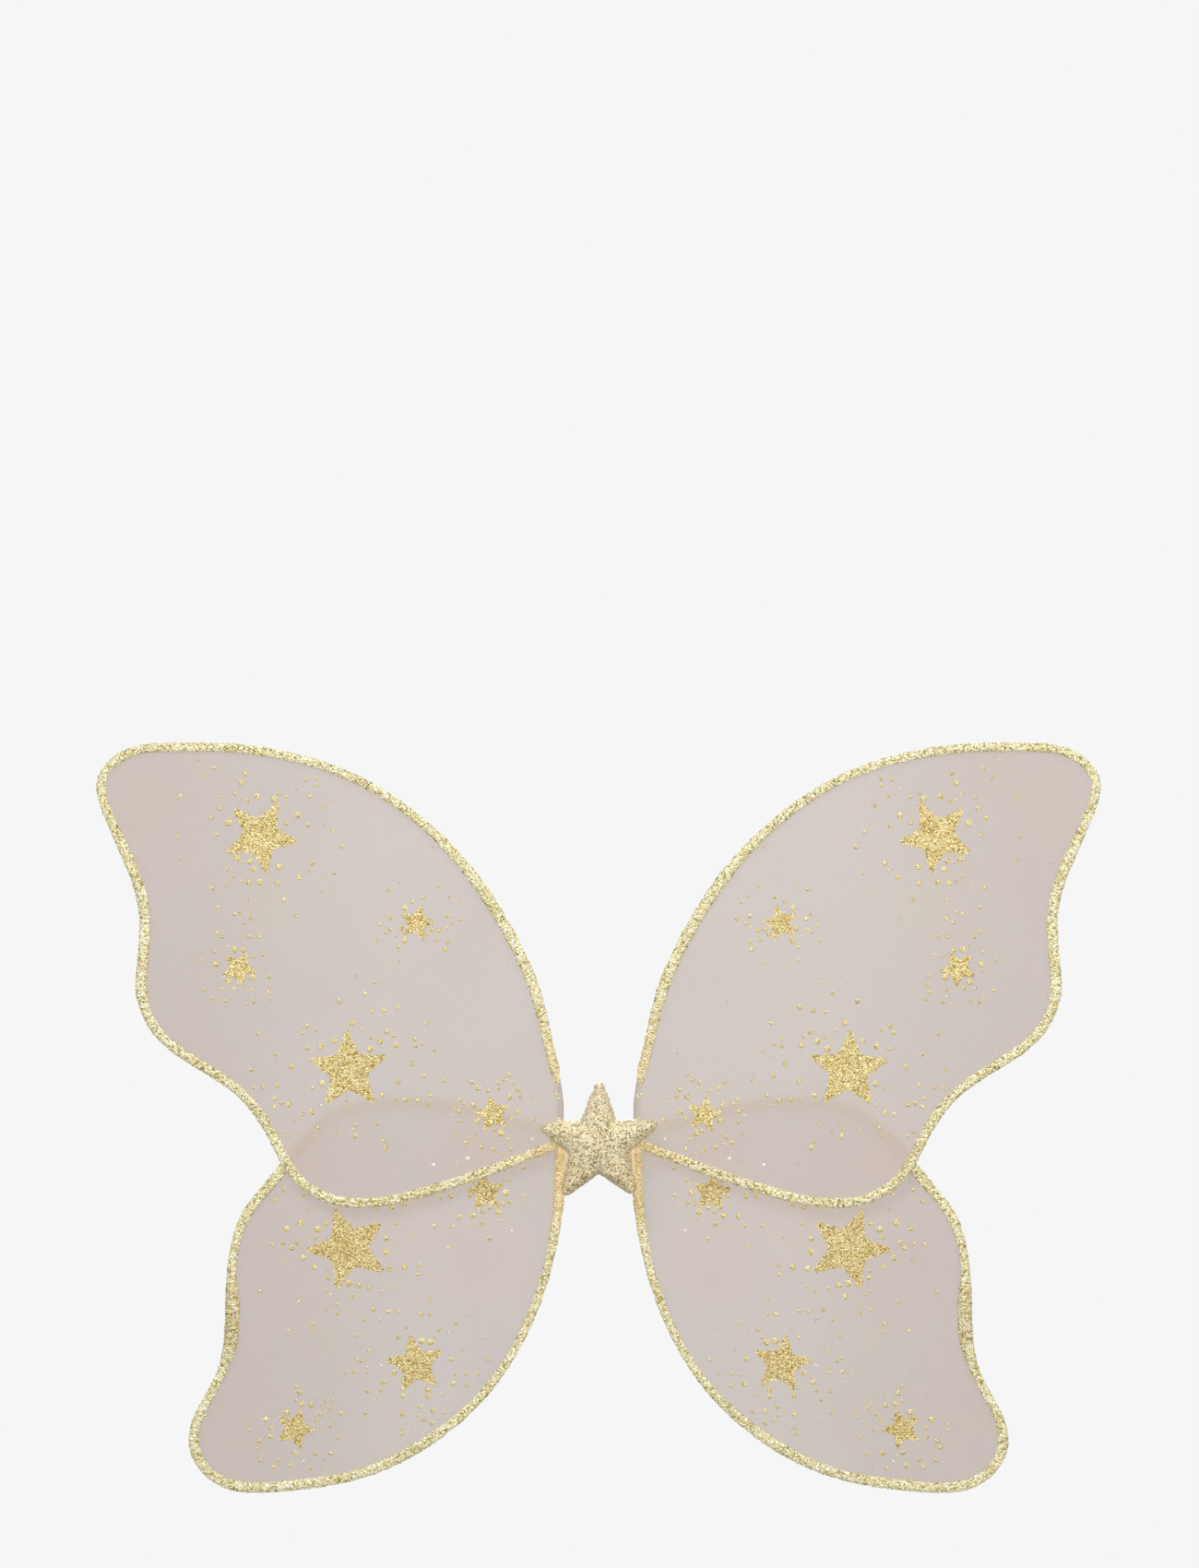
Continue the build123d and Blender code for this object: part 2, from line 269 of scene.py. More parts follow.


# Where the cloth changes colour: a mesh attribute, how strong it is at most, and the colour. Pink and
# green are zones where the light shifts, tip is the outer end of the wing, behind is painted shade, a faint
# band where another wing's edging lies right behind the cloth, and edge is the cloth doubled round the wire.
CLOTH_TINTS = [("pink", 0.36, (210, 190, 184)), ("green", 0.5, (204, 198, 188)),
               ("tip", 0.28, (186, 170, 166)), ("behind", 0.16, (188, 160, 108)),
               ("edge", 0.14, (160, 150, 146))]


def sheer(name):
    """Fine mesh cloth, see-through, with faint tints."""
    m = Nodes(name)
    colour = m.mix(m.rescale(m.noise(80.0, 1.5), 0.5, 0.8, 0.0, 0.5), (204, 197, 194), (202, 192, 189))
    for word, strength, tint in CLOTH_TINTS:
        colour = m.mix(m.times(m.attribute(word), strength), colour, tint)
    m.colour(colour)
    weave = m.math("MAXIMUM", m.threads(0.42, "X"), m.threads(0.42, "Z"))
    cloud = m.rescale(m.noise(40.0, 3.0), 0.3, 0.7, -0.02, 0.02)
    cover = m.plus(m.rescale(weave, 0.0, 1.0, 0.68, 0.8), cloud)
    m.link(m.plus(cover, m.times(m.attribute("edge"), 0.08)), m.surface.inputs["Alpha"])
    m.set(Roughness=0.6, Sheen_Weight=0.2, Sheen_Roughness=0.45, Specular_IOR_Level=0.3)
    m.bump(weave, 0.04, 0.25)
    return m.material


def satin(name, light, shade):
    """Smooth woven ribbon with fine threads across it, dusted with glitter where glint is high."""
    m = Nodes(name)
    # Painted crease shade: tone lays soft darker and lighter streaks along the ribbon, where its folds would
    # be shaded and lit.
    tone = m.rescale(m.noise(2.0, 3.0, (1.0, 1.0, 0.14)), 0.3, 0.7)
    flakes, height, _ = flakes_of(m, 0.8, EDGE_GOLD)
    glint = m.attribute("glint")
    m.colour(m.mix(glint, m.mix(tone, shade, light), m.mix(0.42, flakes, (246, 206, 140))))
    cloth = m.plus(m.times(m.threads(0.4, "Z"), 0.3), tone)
    m.bump(m.plus(cloth, m.times(m.times(height, glint), 1.6)), 0.12, 0.6)
    m.set(Roughness=0.42, Sheen_Weight=0.3, Metallic=0.15)
    return m.material


def woven(name, light, shade):
    """Plain woven cotton: threads in two directions, slightly uneven, with soft wear."""
    m = Nodes(name)
    warp = m.plus(m.threads(0.5, "X", 0.8), m.threads(0.5, "Y", 0.8))
    cloth = m.times(warp, m.threads(0.5, "Z", 0.8))
    worn = m.rescale(m.noise(7.0, 4.0), 0.3, 0.7, 0.0, 0.4)
    m.colour(m.mix(worn, m.mix(m.rescale(cloth, 0.1, 1.2), shade, light), darker(light, 0.93)))
    m.bump(cloth, 0.1, 0.7)
    m.set(Roughness=0.85, Sheen_Weight=0.35, Specular_IOR_Level=0.25)
    return m.material


def elastic_web(name, light, shade, gap):
    """Knitted elastic: a fine rib across the band and bright selvedges."""
    m = Nodes(name)
    rib = m.attribute("rib")
    wale = m.rescale(m.noise(0.7, 2.0, (1.0, 1.0, 0.25)), 0.3, 0.7)
    m.colour(m.mix(m.times(wale, 0.35), m.mix(rib, shade, light), gap))
    m.bump(m.plus(m.times(rib, 0.7), wale), 0.12, 0.7)
    m.set(Roughness=0.7, Sheen_Weight=0.3)
    return m.material


def metal(name, light, shade, rough):
    """Bare metal with drawing marks along its length and dull stains."""
    m = Nodes(name)
    drawn = m.noise(0.8, 3.0, (1.0, 1.0, 0.2))
    stain = m.rescale(m.noise(4.0, 4.0), 0.55, 0.75, 0.0, 0.6)
    m.colour(m.mix(stain, m.mix(m.rescale(drawn, 0.3, 0.7), shade, light), darker(shade, 0.7)))
    m.roughness(m.rescale(drawn, 0.2, 0.8, rough - 0.1, rough + 0.15))
    m.bump(drawn, 0.02, 0.5)
    m.set(Metallic=1.0)
    return m.material


def filling(name, light, shade, size):
    """Open foam or loose fibre, full of small holes."""
    m = Nodes(name)
    hole = m.rescale(m.cells(size)[2], 0.1, 0.6)
    m.colour(m.mix(hole, light, shade))
    m.bump(m.plus(hole, m.noise(size * 0.6, 4.0)), size * 0.3, 0.8)
    m.set(Roughness=0.95, Sheen_Weight=0.4)
    return m.material


def pearly(name, light, shade):
    """Drops of white pearl paint."""
    m = Nodes(name)
    swirl = m.rescale(m.noise(0.8), 0.35, 0.65)
    m.colour(m.mix(swirl, light, shade))
    m.bump(swirl, 0.03, 0.4)
    m.set(Roughness=0.25, Coat_Weight=0.5, Coat_Roughness=0.1)
    return m.material


def thread_twist(name, light, shade):
    """Sewing thread, two plies twisted."""
    m = Nodes(name)
    ply = m.threads(0.5, "DIAGONAL", 1.0)
    m.colour(m.mix(ply, shade, light))
    m.bump(ply, 0.08, 0.8)
    m.set(Roughness=0.6, Sheen_Weight=0.3)
    return m.material


# Colour of the foil grains, from their dark gaps to their bright middles.
EDGE_GOLD = [(0.06, (144, 133, 76)), (0.22, (219, 208, 142)), (0.42, (245, 238, 194)),
             (0.68, (253, 249, 222)), (0.9, (255, 254, 242))]
PRINT_GOLD = [(0.06, (142, 120, 52)), (0.24, (216, 192, 112)), (0.48, (243, 225, 162)),
              (0.74, (253, 240, 192)), (0.92, (255, 252, 224))]
STAR_GOLD = [(0.08, (134, 112, 58)), (0.24, (214, 194, 140)), (0.4, (246, 234, 196)),
             (0.66, (255, 249, 222)), (0.9, (255, 254, 240))]
LOOKS = {
    "edging": glitter("edging_glitter", EDGE_GOLD, 0.95, 0.45, 0.38, (242, 210, 152), (176, 142, 70), 0.3),
    "print": glitter("print_glitter", PRINT_GOLD, 0.72, 0.5, 0.38, (240, 229, 170), (176, 142, 70), 0.3),
    # The star's tone colours are its painted highlight (250, 238, 206) and its painted shade (222, 184, 100).
    "star": glitter("star_glitter", STAR_GOLD, 0.85, 0.4, 0.36, (250, 238, 206), (222, 184, 100), 0.2),
    "fabric": sheer("sheer_mesh_cloth"),
    "channel": satin("channel_satin", (255, 247, 220), (236, 204, 150)),
    "pad": woven("pad_cotton", (238, 231, 214), (208, 198, 176)),
    "elastic": elastic_web("ivory_elastic", (240, 235, 224), (205, 198, 184), (188, 178, 160)),
    "thread": thread_twist("gold_thread", (232, 212, 160), (176, 150, 96)),
    "pearl": pearly("pearl_paint", (250, 246, 240), (238, 226, 222)),
    "wire": metal("spring_steel", (176, 178, 182), (122, 124, 128), 0.32),
    "ferrule": metal("soft_aluminium", (206, 207, 210), (160, 162, 166), 0.42),
    "foam": filling("cream_foam", (238, 228, 196), (190, 174, 130), 0.9),
    "stuffing": filling("white_fibre", (244, 243, 240), (196, 194, 190), 1.6),
}


# ---- meshes ---------------------------------------------------------------------------------
def add_mesh(name, points, faces, look, smooth=False, **paints):
    """A mesh object from points in millimetres. Its material reads the paints, a value for each point."""
    mesh = bpy.data.meshes.new(name)
    mesh.from_pydata((np.asarray(points) * MM).tolist(), [], [list(map(int, f)) for f in faces])
    mesh.polygons.foreach_set("use_smooth", [smooth] * len(mesh.polygons))
    mesh.materials.append(LOOKS[look])
    mesh.update()
    for key, values in paints.items():
        attribute = mesh.attributes.new(key, "FLOAT", "POINT")
        attribute.data.foreach_set("value", np.asarray(values, np.float32))
    obj = bpy.data.objects.new(name, mesh)
    bpy.context.scene.collection.objects.link(obj)
    return obj


def both_sides(name, points, faces, look, smooth=False, **paints):
    """The right-hand piece and its mirror image, as ("right", object) and ("left", object)."""
    made = []
    for side, way in SIDES.items():
        turned = faces if way > 0 else [list(f)[::-1] for f in faces]
        place = np.asarray(points) * [way, 1, 1]
        made.append((side, add_mesh(f"{side}_{name}", place, turned, look, smooth, **paints)))
    return made


def joined(parts):
    """Several (points, faces) as one."""
    points, faces, count = [], [], 0
    for more_points, more_faces in parts:
        points.append(np.asarray(more_points, float))
        faces.extend([[v + count for v in f] for f in more_faces])
        count += len(more_points)
    return np.vstack(points), faces


def spaced(points, step, closed=True):
    """The same line with its points an even distance apart."""
    line = np.vstack([points, points[:1]]) if closed else np.asarray(points, float)
    along = np.concatenate([[0], np.cumsum(np.linalg.norm(np.diff(line, axis=0), axis=1))])
    count = max(4, round(along[-1] / step))
    at = np.linspace(0, along[-1], count, endpoint=not closed)
    return np.column_stack([np.interp(at, along, line[:, k]) for k in range(line.shape[1])])


def rounded(points, reach, times=2):
    """A closed line, averaged over this many points to each side."""
    for _ in range(times):
        points = sum(np.roll(points, k, axis=0) for k in range(-reach, reach + 1)) / (2 * reach + 1)
    return points


def outward(points):
    """Directions out of a closed flat line."""
    along = np.roll(points, -1, axis=0) - np.roll(points, 1, axis=0)
    along /= np.linalg.norm(along, axis=1)[:, None]
    x, z = points.T
    area = np.sum(x * np.roll(z, -1) - z * np.roll(x, -1))
    return np.column_stack([along[:, 1], -along[:, 0]]) * np.sign(area)


def inside(points, loop):
    """Whether each flat point is inside a closed line."""
    x, z = points[:, :1], points[:, 1:]
    x0, z0 = loop.T
    x1, z1 = np.roll(loop, -1, axis=0).T
    crosses = (z0 > z) != (z1 > z)
    with np.errstate(divide="ignore", invalid="ignore"):
        at = (x1 - x0) * (z - z0) / (z1 - z0) + x0
    return np.sum(crosses & (x < at), axis=1) % 2 == 1


def distances(flat, line):
    """How far each flat point is from the nearest point of a line."""
    tree = kdtree.KDTree(len(line))
    for k, (x, z) in enumerate(line):
        tree.insert((x, z, 0), k)
    tree.balance()
    return np.array([tree.find((x, z, 0))[2] for x, z in flat])


def grid(loop, step):
    """Points of a triangular grid inside a closed line, clear of it."""
    low, high = loop.min(0), loop.max(0)
    spots = []
    for k, z in enumerate(np.arange(low[1], high[1], step * 0.866)):
        spots += [(x + (k % 2) * step / 2, z) for x in np.arange(low[0], high[0], step)]
    spots = np.array(spots)
    spots = spots[inside(spots, loop)]
    return spots[distances(spots, loop) > step * 0.55]


def filled(loop, more):
    """Points and triangles over a closed line and the points inside it, with the line's points first."""
    count = len(loop)
    every = np.vstack([loop, more]) if len(more) else np.asarray(loop)
    edges = [(k, (k + 1) % count) for k in range(count)]
    points, _, faces, source, *_ = delaunay_2d_cdt([Vector(p) for p in every], edges, [], 1, 1e-6)
    back = [min(s) if s else -1 for s in source]
    extra = {k: len(every) + i for i, k in enumerate(k for k, b in enumerate(back) if b < 0)}
    place = np.vstack([every, [tuple(points[k]) for k in extra]]) if extra else every
    return place, [[extra.get(v, back[v]) for v in f] for f in faces]


def wobble(points, size, seed=0.0):
    """Soft noise of about -1 to 1 at each point, with lumps of this size."""
    shifted = np.asarray(points, float) / size + seed * 17.31
    if shifted.shape[1] == 2:
        shifted = np.column_stack([shifted[:, 0], np.full(len(shifted), seed), shifted[:, 1]])
    return np.array([noise.noise(p) for p in shifted]) * 1.6


def smoothstep(value, low, high):
    t = np.clip((np.asarray(value, float) - low) / (high - low), 0, 1)
    return t * t * (3 - 2 * t)


def face_to(points, faces, way):
    """Faces turned to look along y (1) or against it (-1)."""
    turned = []
    for face in faces:
        a, b, c = points[list(face[:3])]
        turned.append(face if np.cross(b - a, c - a)[1] * way >= 0 else face[::-1])
    return turned


def fans(points, faces):
    """The corners of each triangle that the faces split into."""
    for face in faces:
        for k in range(1, len(face) - 1):
            yield points[face[0]], points[face[k]], points[face[k + 1]]


def area_of(points, faces):
    return sum(np.linalg.norm(np.cross(b - a, c - a)) for a, b, c in fans(points, faces)) / 2


def facing_out(points, faces):
    """Faces of a closed form, all turned outwards."""
    volume = sum(np.dot(a, np.cross(b, c)) for a, b, c in fans(points, faces))
    return faces if volume > 0 else [face[::-1] for face in faces]


def quads(around, count, closed_path=False):
    """Quads between this many rings of points."""
    faces = []
    for k in range(count if closed_path else count - 1):
        m = (k + 1) % count
        for j in range(around):
            n = (j + 1) % around
            faces.append([k * around + j, k * around + n, m * around + n, m * around + j])
    return faces


def end_faces(around, count):
    """Faces that close the first and the last of this many rings."""
    return [list(range(around))[::-1], [(count - 1) * around + j for j in range(around)]]


def lofted(rings, closed_path=False, caps=False):
    """A surface through rings of the same number of points: (points, faces)."""
    around, count = len(rings[0]), len(rings)
    faces = quads(around, count, closed_path) + (end_faces(around, count) if caps else [])
    points = np.vstack(rings)
    return points, facing_out(points - points.mean(0), faces)


def without_strays(points, faces, tone):
    """Without the points that no face uses."""
    used = sorted({v for f in faces for v in f})
    new = {v: k for k, v in enumerate(used)}
    return points[used], [[new[v] for v in f] for f in faces], tone[used]


# ---- the outline of a wing ------------------------------------------------------------------
def front_outline(node):
    """The outline of a packed flat panel's front face, as x and z."""
    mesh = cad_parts[node].data
    spots = {}
    index = [spots.setdefault(tuple(round(c, 5) for c in v.co), len(spots)) for v in mesh.vertices]
    edges = set()
    for face in mesh.polygons:
        if face.normal.y < -0.9:
            ring = [index[v] for v in face.vertices]
            edges.update(zip(ring, ring[1:] + ring[:1]))
    follows = {a: b for a, b in edges if (b, a) not in edges}
    loop = [min(follows)]
    while follows[loop[-1]] != loop[0]:
        loop.append(follows[loop[-1]])
    return np.array(list(spots))[loop][:, [0, 2]] / MM


def wire_line(wing, spec):
    """The wire's closed centre line. It starts where the edging does and runs out along the wing."""
    edge = rounded(spaced(front_outline(f"right_{wing}_front_mesh"), 0.5), 2)
    line = spaced(edge + outward(edge) * WIRE_INSET, 1.0)
    start = np.linalg.norm(line - [spec["root"], spec["edging_from"] - 0.5 * min(spec["way"], 0)], axis=1)
    first = int(np.argmin(start))
    line = np.roll(line, -first, axis=0)
    if (line[4] - line[0])[1] * spec["way"] < 0:
        line = np.roll(line[::-1], 1, axis=0)
    return line


def wrap_radius(line, spec):
    """Outside of the fabric round the wire: a little more over the ferrule."""
    at_root = np.abs(line[:, 0] - spec["root"]) < 1.5
    near = 1 - smoothstep(np.abs(line[:, 1] - spec["ferrule"]), 3.8, 9.0)
    return WRAP_R + (FERRULE_WRAP_R - WRAP_R) * near * at_root


# ---- sheer fabric ---------------------------------------------------------------------------
class Panel:
    """One layer of a wing's fabric: the front (layer -1) or the rear one (1), wrapped round the wire."""

    def __init__(self, line, spec, layer, seed):
        self.line, self.spec, self.layer, self.seed = line, spec, layer, seed
        self.out = outward(line)
        self.edge = line - self.out * FLAT_EDGE

    def depth(self, flat):
        """y of the cloth at points of its flat part. It strays most from flat where nothing holds it."""
        stray = wobble(flat, 60.0, self.seed + self.layer) * 0.16
        stray += wobble(flat, 19.0, self.seed + self.layer + 5) * 0.05
        stray *= smoothstep(distances(flat, self.line), 3.0, 14.0)
        return self.spec["plane"] + self.layer * LAYER_Y + stray

    def mesh(self):
        """Its points and faces, and the tints of its material."""
        count = len(self.line)
        radius = wrap_radius(self.line, self.spec)
        flat, faces = filled(self.edge, grid(self.edge, 3.2))
        points = [np.column_stack([flat[:, 0], self.depth(flat), flat[:, 1]])]
        tone = [np.where(np.arange(len(flat)) < count, 0.25, 0.0)]
        rings = []
        for reach, share, tint in RISE:
            rings.append((np.full(count, reach), LAYER_Y + (radius * 0.72 - LAYER_Y) * share, tint))
        for reach in ROUND:
            rings.append((reach * radius, math.sqrt(1 - reach * reach) * radius, 1.0))
        for step, lift, tint in rings:
            spot = self.line + self.out * step[:, None]
            points.append(np.column_stack([spot[:, 0], self.spec["plane"] + self.layer * lift, spot[:, 1]]))
            tone.append(np.full(count, tint))
        rows = [np.arange(count)]
        rows += [len(flat) + count * k + rows[0] for k in range(len(rings))]
        clear = self.in_channel()
        keep = ~(clear | np.roll(clear, -1))
        for level, (first, second) in enumerate(zip(rows, rows[1:])):
            for k in np.flatnonzero(keep | (level == 0)):
                n = (k + 1) % count
                faces.append([first[k], first[n], second[n], second[k]])
        points = np.vstack(points)
        faces = face_to(points, faces, self.layer)
        points, faces, tone = without_strays(points, faces, np.concatenate(tone))
        tints = {word: self.zones(points, self.spec[word]) for word in ("pink", "green")}
        tints["tip"] = smoothstep(points[:, 0] / self.line[:, 0].max(), 0.42, 0.9)
        return points, faces, {"edge": tone, **tints}

    def zones(self, points, spots):
        """How strong a soft tint is at each point, from its round patches."""
        shade = np.zeros(len(points))
        ragged = 1 + 0.35 * wobble(points, 28.0, self.seed)
        for x, z, size in spots:
            far = np.hypot(points[:, 0] - x, points[:, 2] - z) / (size * ragged)
            shade = np.maximum(shade, np.exp(-far ** 2))
        return shade

    def in_channel(self):
        """Where the sleeve on the pad holds the bare wire, so that no cloth is wrapped round it."""
        low, high = self.spec["channel"]
        at_root = np.abs(self.line[:, 0] - self.spec["root"]) < 0.8
        return at_root & (self.line[:, 1] > low + 0.4) & (self.line[:, 1] < high - 0.4)


def edging_shade_band(points, line):
    """Painted shade: a faint band on the cloth where another wing's edging lies right behind it."""
    return np.exp(-(distances(points[:, [0, 2]], line) / 4.0) ** 2)


def make_fabric(wing, spec, line, behind, seed):
    """Both sheer layers of the right and left wing. The front one is returned."""
    front, rear = Panel(line, spec, -1, seed), Panel(line, spec, 1, seed)
    for panel, word in ((front, "front"), (rear, "rear")):
        points, faces, tints = panel.mesh()
        if behind is not None:
            # Painted shade where the lower wing's edging lies behind the upper wing's cloth.
            tints["behind"] = edging_shade_band(points, behind)
        cut = area_of(points, faces) * MM * MM
        for side, obj in both_sides(f"{wing}_{word}_fabric", points, faces, "fabric", True, **tints):
            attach(obj, f"{side}_{wing}_wing")
            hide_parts(f"{side}_{wing}_{word}_mesh")
    return front


# ---- glitter edging -------------------------------------------------------------------------
def make_edging(wing, spec, line, seed):
    """A raised band of glitter over the wrapped wire, with a coarse, uneven surface."""
    rng = np.random.default_rng(seed)
    line_out, line_radius = outward(line), wrap_radius(line, spec)
    first = SPARSE if wing == "upper" else 0
    last = int(np.argmin(np.linalg.norm(line - spec["leg_end"], axis=1))) + (4 if wing == "upper" else 0)
    fine = spaced(np.column_stack([line, line_out])[first: last + 1], GRAIN, closed=False)
    path, out = fine[:, :2], fine[:, 2:] / np.linalg.norm(fine[:, 2:], axis=1)[:, None]
    count = len(path)
    radius = wrap_radius(path, spec) + 0.1
    steps = np.arange(count) * GRAIN
    cover = np.ones(count)  # how fully the glitter covers the wrapped wire, along the band
    tone = np.zeros(count)
    width = 1 + 0.06 * wobble(path, 7.0, seed) + 0.04 * wobble(path, 2.2, seed + 1)
    z = path[:, 1]
    if wing == "upper":
        width *= 0.96 + 0.13 * smoothstep(z, 60, 90) - 0.22 * smoothstep(z, 145, 190)
        cover = 0.2 + 0.8 * smoothstep(steps, 0.0, 9.0)
        cover *= 1 - 0.35 * smoothstep(steps, steps[-1] - 4.0, steps[-1])
        tone -= 0.5 * (1 - smoothstep(steps, 0.0, 50.0))
        tone -= 0.65 * smoothstep(steps, steps[-1] - 45.0, steps[-1])
    else:
        width *= 1 - 0.18 * smoothstep(-z, 28, 60) * (1 - smoothstep(-z, 120, 160))
        # The band is twice as wide halfway down the wing's outer edge.
        swell = smoothstep(z, -126, -102) * (1 - smoothstep(z, -84, -64)) * (path[:, 0] > 150)
        width += 0.58 * swell
        path = path - out * swell[:, None]
        tone += 0.75 * swell - 0.9 * (1 - smoothstep(steps, 12.0, 50.0))
    half = radius + (EDGING_HALF_WIDTH * width - radius) * cover
    thick = radius + (EDGING_HALF_THICKNESS * (0.5 + 0.5 * width) - radius) * cover
    around = EDGING_SIDES
    turn = np.arange(around) / around * 2 * math.pi
    ends = smoothstep(steps[-1] - steps, -0.6, 1.6)
    if wing == "upper":
        ends = np.minimum(ends, smoothstep(steps, -0.8, 0.7))
    bare = (1 - cover) * 0.42  # how deep the pits are where the glitter thins out
    # The band's section is a little squarer than an ellipse.
    flatter = [np.abs(wave(turn)) ** 0.72 * np.sign(wave(turn)) for wave in (np.cos, np.sin)]
    rings = []
    for k in range(count):
        wide = half[k] * flatter[0]
        deep = thick[k] * flatter[1] * ends[k]
        lumps = rng.normal(0, 0.17, around) - bare[k] * rng.random(around) ** 0.5
        stretch = 1 + lumps / half[k]
        flat = path[k] + out[k] * (wide * stretch * (0.4 + 0.6 * ends[k]))[:, None]
        flat += rng.normal(0, 0.12, (around, 2))
        rings.append(np.column_stack([flat[:, 0], spec["plane"] + deep * stretch, flat[:, 1]]))
    points = np.vstack(rings)
    faces = []
    for a, b, c, d in quads(around, count):
        odd = (a // around + a % around) % 2
        faces += [[a, b, c], [a, c, d]] if odd else [[a, b, d], [b, c, d]]
    faces += end_faces(around, count)
    parts, tones = [(points, facing_out(points, faces))], [np.repeat(tone, around)]
    # Grains get fewer towards the root, and lie in clumps.
    for k in range(1, first + 8 if first else 0):
        clump = float(smoothstep(noise.noise((k * 0.33, seed, 0.5)), -0.4, 0.2))
        for _ in range(rng.binomial(6, min(0.75, (0.2 + 0.5 * (k / first) ** 2) * clump))):
            parts.append(loose_grain(line[k], line_out[k], line_radius[k], spec["plane"], rng))
            tones.append(np.full(len(parts[-1][0]), -0.35))
    points, faces = joined(parts)
    tone = np.concatenate(tones)
    for side, obj in both_sides(f"{wing}_glitter_edging", points, faces, "edging", tone=tone):
        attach(obj, f"{side}_{wing}_wing")
        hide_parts(f"{side}_{wing}_edge_trim")


def loose_grain(spot, out, radius, plane, rng):
    """One lump of glitter on the wrapped edge, where the band has thinned to sparse bits."""
    aside = float(np.clip(rng.normal(-1.5, 0.6), -2.8, 0.2))
    size = rng.uniform(0.4, 1.05)
    x, z = spot + out * aside + rng.normal(0, 0.3, 2)
    lift = math.sqrt(max(LAYER_Y ** 2, radius ** 2 - aside ** 2))
    return dome(x, z, plane - lift, size, rng, 7)


# ---- printed stars and dots -----------------------------------------------------------------
def star_line(outer, inner, lean, step, hollow, blunt):
    """A star's outline: hollow draws its sides inwards, and its tips are cut to this half width."""
    corners = []
    for k in range(10):
        angle = math.radians(90 + lean + 36 * k)
        ray = np.array([math.cos(angle), math.sin(angle)])
        across = np.array([-ray[1], ray[0]])
        if k % 2 == 0:
            corners += [ray * outer - across * blunt, ray * outer + across * blunt]
        else:
            corners.append(ray * inner)
    corners = np.array(corners)
    line = []
    for first, second in zip(corners, np.roll(corners, -1, axis=0)):
        middle = (first + second) / 2
        share = np.linspace(0, 1, 9)[:-1, None]
        line.append(first + (second - first) * share - middle * hollow * 4 * share * (1 - share))
    return spaced(np.vstack(line), step)


def slab(loop, more, depth, thickness, rng, rough):
    """A thin closed piece of print on the cloth: (points, faces)."""
    flat, faces = filled(loop, more)
    count, n = len(flat), len(loop)
    base = depth(flat)
    front = base - thickness * (0.75 + rough * rng.normal(0, 1, count))
    rim = np.arange(count) < n
    front[rim] = base[rim] - 0.22
    shift = rng.normal(0, 0.09, (count, 2)) * ~rim[:, None]
    under, under_faces = filled(loop, [])
    points = np.vstack([
        np.column_stack([flat[:, 0] + shift[:, 0], front, flat[:, 1] + shift[:, 1]]),
        np.column_stack([under[:, 0], depth(under) + 0.05, under[:, 1]]),
    ])
    top = face_to(points, faces, -1)
    back = face_to(points, [[v + count for v in f] for f in under_faces], 1)
    wall = [[k, (k + 1) % n, count + (k + 1) % n, count + k] for k in range(n)]
    if runs_forward(top):
        wall = [face[::-1] for face in wall]
    return points, top + wall + back


def runs_forward(faces):
    """Whether the faces run along the rim from point 0 to point 1."""
    return any(pair == (0, 1) for face in faces for pair in zip(face, face[1:] + face[:1]))


def dome(x, z, y, size, rng, sides=9):
    """A small rounded drop of print, slightly irregular."""
    turn = np.arange(sides) / sides * 2 * math.pi + rng.random() * 6
    reach = size * (1 + rng.normal(0, 0.1, sides))
    height = min(0.45, 0.36 * size)
    rings = []
    for share, lift in ((1.0, -0.05), (1.0, 0.25), (0.62, 0.85)):
        r = reach * share
        lifts = height * (lift + rng.normal(0, 0.05, sides) * (lift > 0))
        rings.append(np.column_stack([x + r * np.cos(turn), y - lifts, z + r * np.sin(turn)]))
    points = np.vstack([*rings, [[x, y - height, z]]])
    faces = quads(sides, 3)
    faces += [[2 * sides + k, 2 * sides + (k + 1) % sides, 3 * sides] for k in range(sides)]
    faces.append(list(range(sides))[::-1])
    return points, facing_out(points - points.mean(0), faces)


def scatter(spec, panel, rng):
    """Places of the dots round each printed star: (x, z, size), denser and larger near it."""
    room = panel.line - panel.out * 5.5
    placed = []

    def clear(x, z, size):
        for sx, sz, r, lean in spec["stars"]:
            turn = math.atan2(z - sz, x - sx) - math.radians(90 + lean)
            fold = abs(((turn / math.radians(72)) + 0.5) % 1 - 0.5) * 2  # 0 at a tip, 1 between two
            side = min(1, max(0, fold * 1.5 - 0.12))
            if math.hypot(x - sx, z - sz) < r * (1.06 - 0.5 * side) + size + 0.6:
                return False
        return all(math.hypot(x - a, z - b) > size + c + 0.8 for a, b, c in placed)

    wanted = []
    for sx, sz, r, _ in spec["stars"]:
        for _ in range(int(28 + 2.6 * r)):
            far = r * (0.75 + 1.8 * rng.random() ** 1.15)
            turn = rng.random() * 2 * math.pi
            near = 1 - (far / r - 0.75) / 1.8
            size = 0.68 + (0.45 + 0.9 * near) * rng.random() ** 0.85
            wanted.append((sx + far * math.cos(turn), sz + far * math.sin(turn), size))
    low, high = room.min(0), room.max(0)
    for _ in range(70):
        spot = low + (high - low) * rng.random(2)
        close = min(math.hypot(spot[0] - s[0], spot[1] - s[1]) / s[2] for s in spec["stars"])
        if close < 5:
            wanted.append((*spot, 0.3 + 0.35 * rng.random()))
    allowed = inside(np.array(wanted)[:, :2], room)
    for (x, z, size), ok in zip(wanted, allowed):
        if ok and clear(x, z, size):
            placed.append((x, z, size))
    return placed


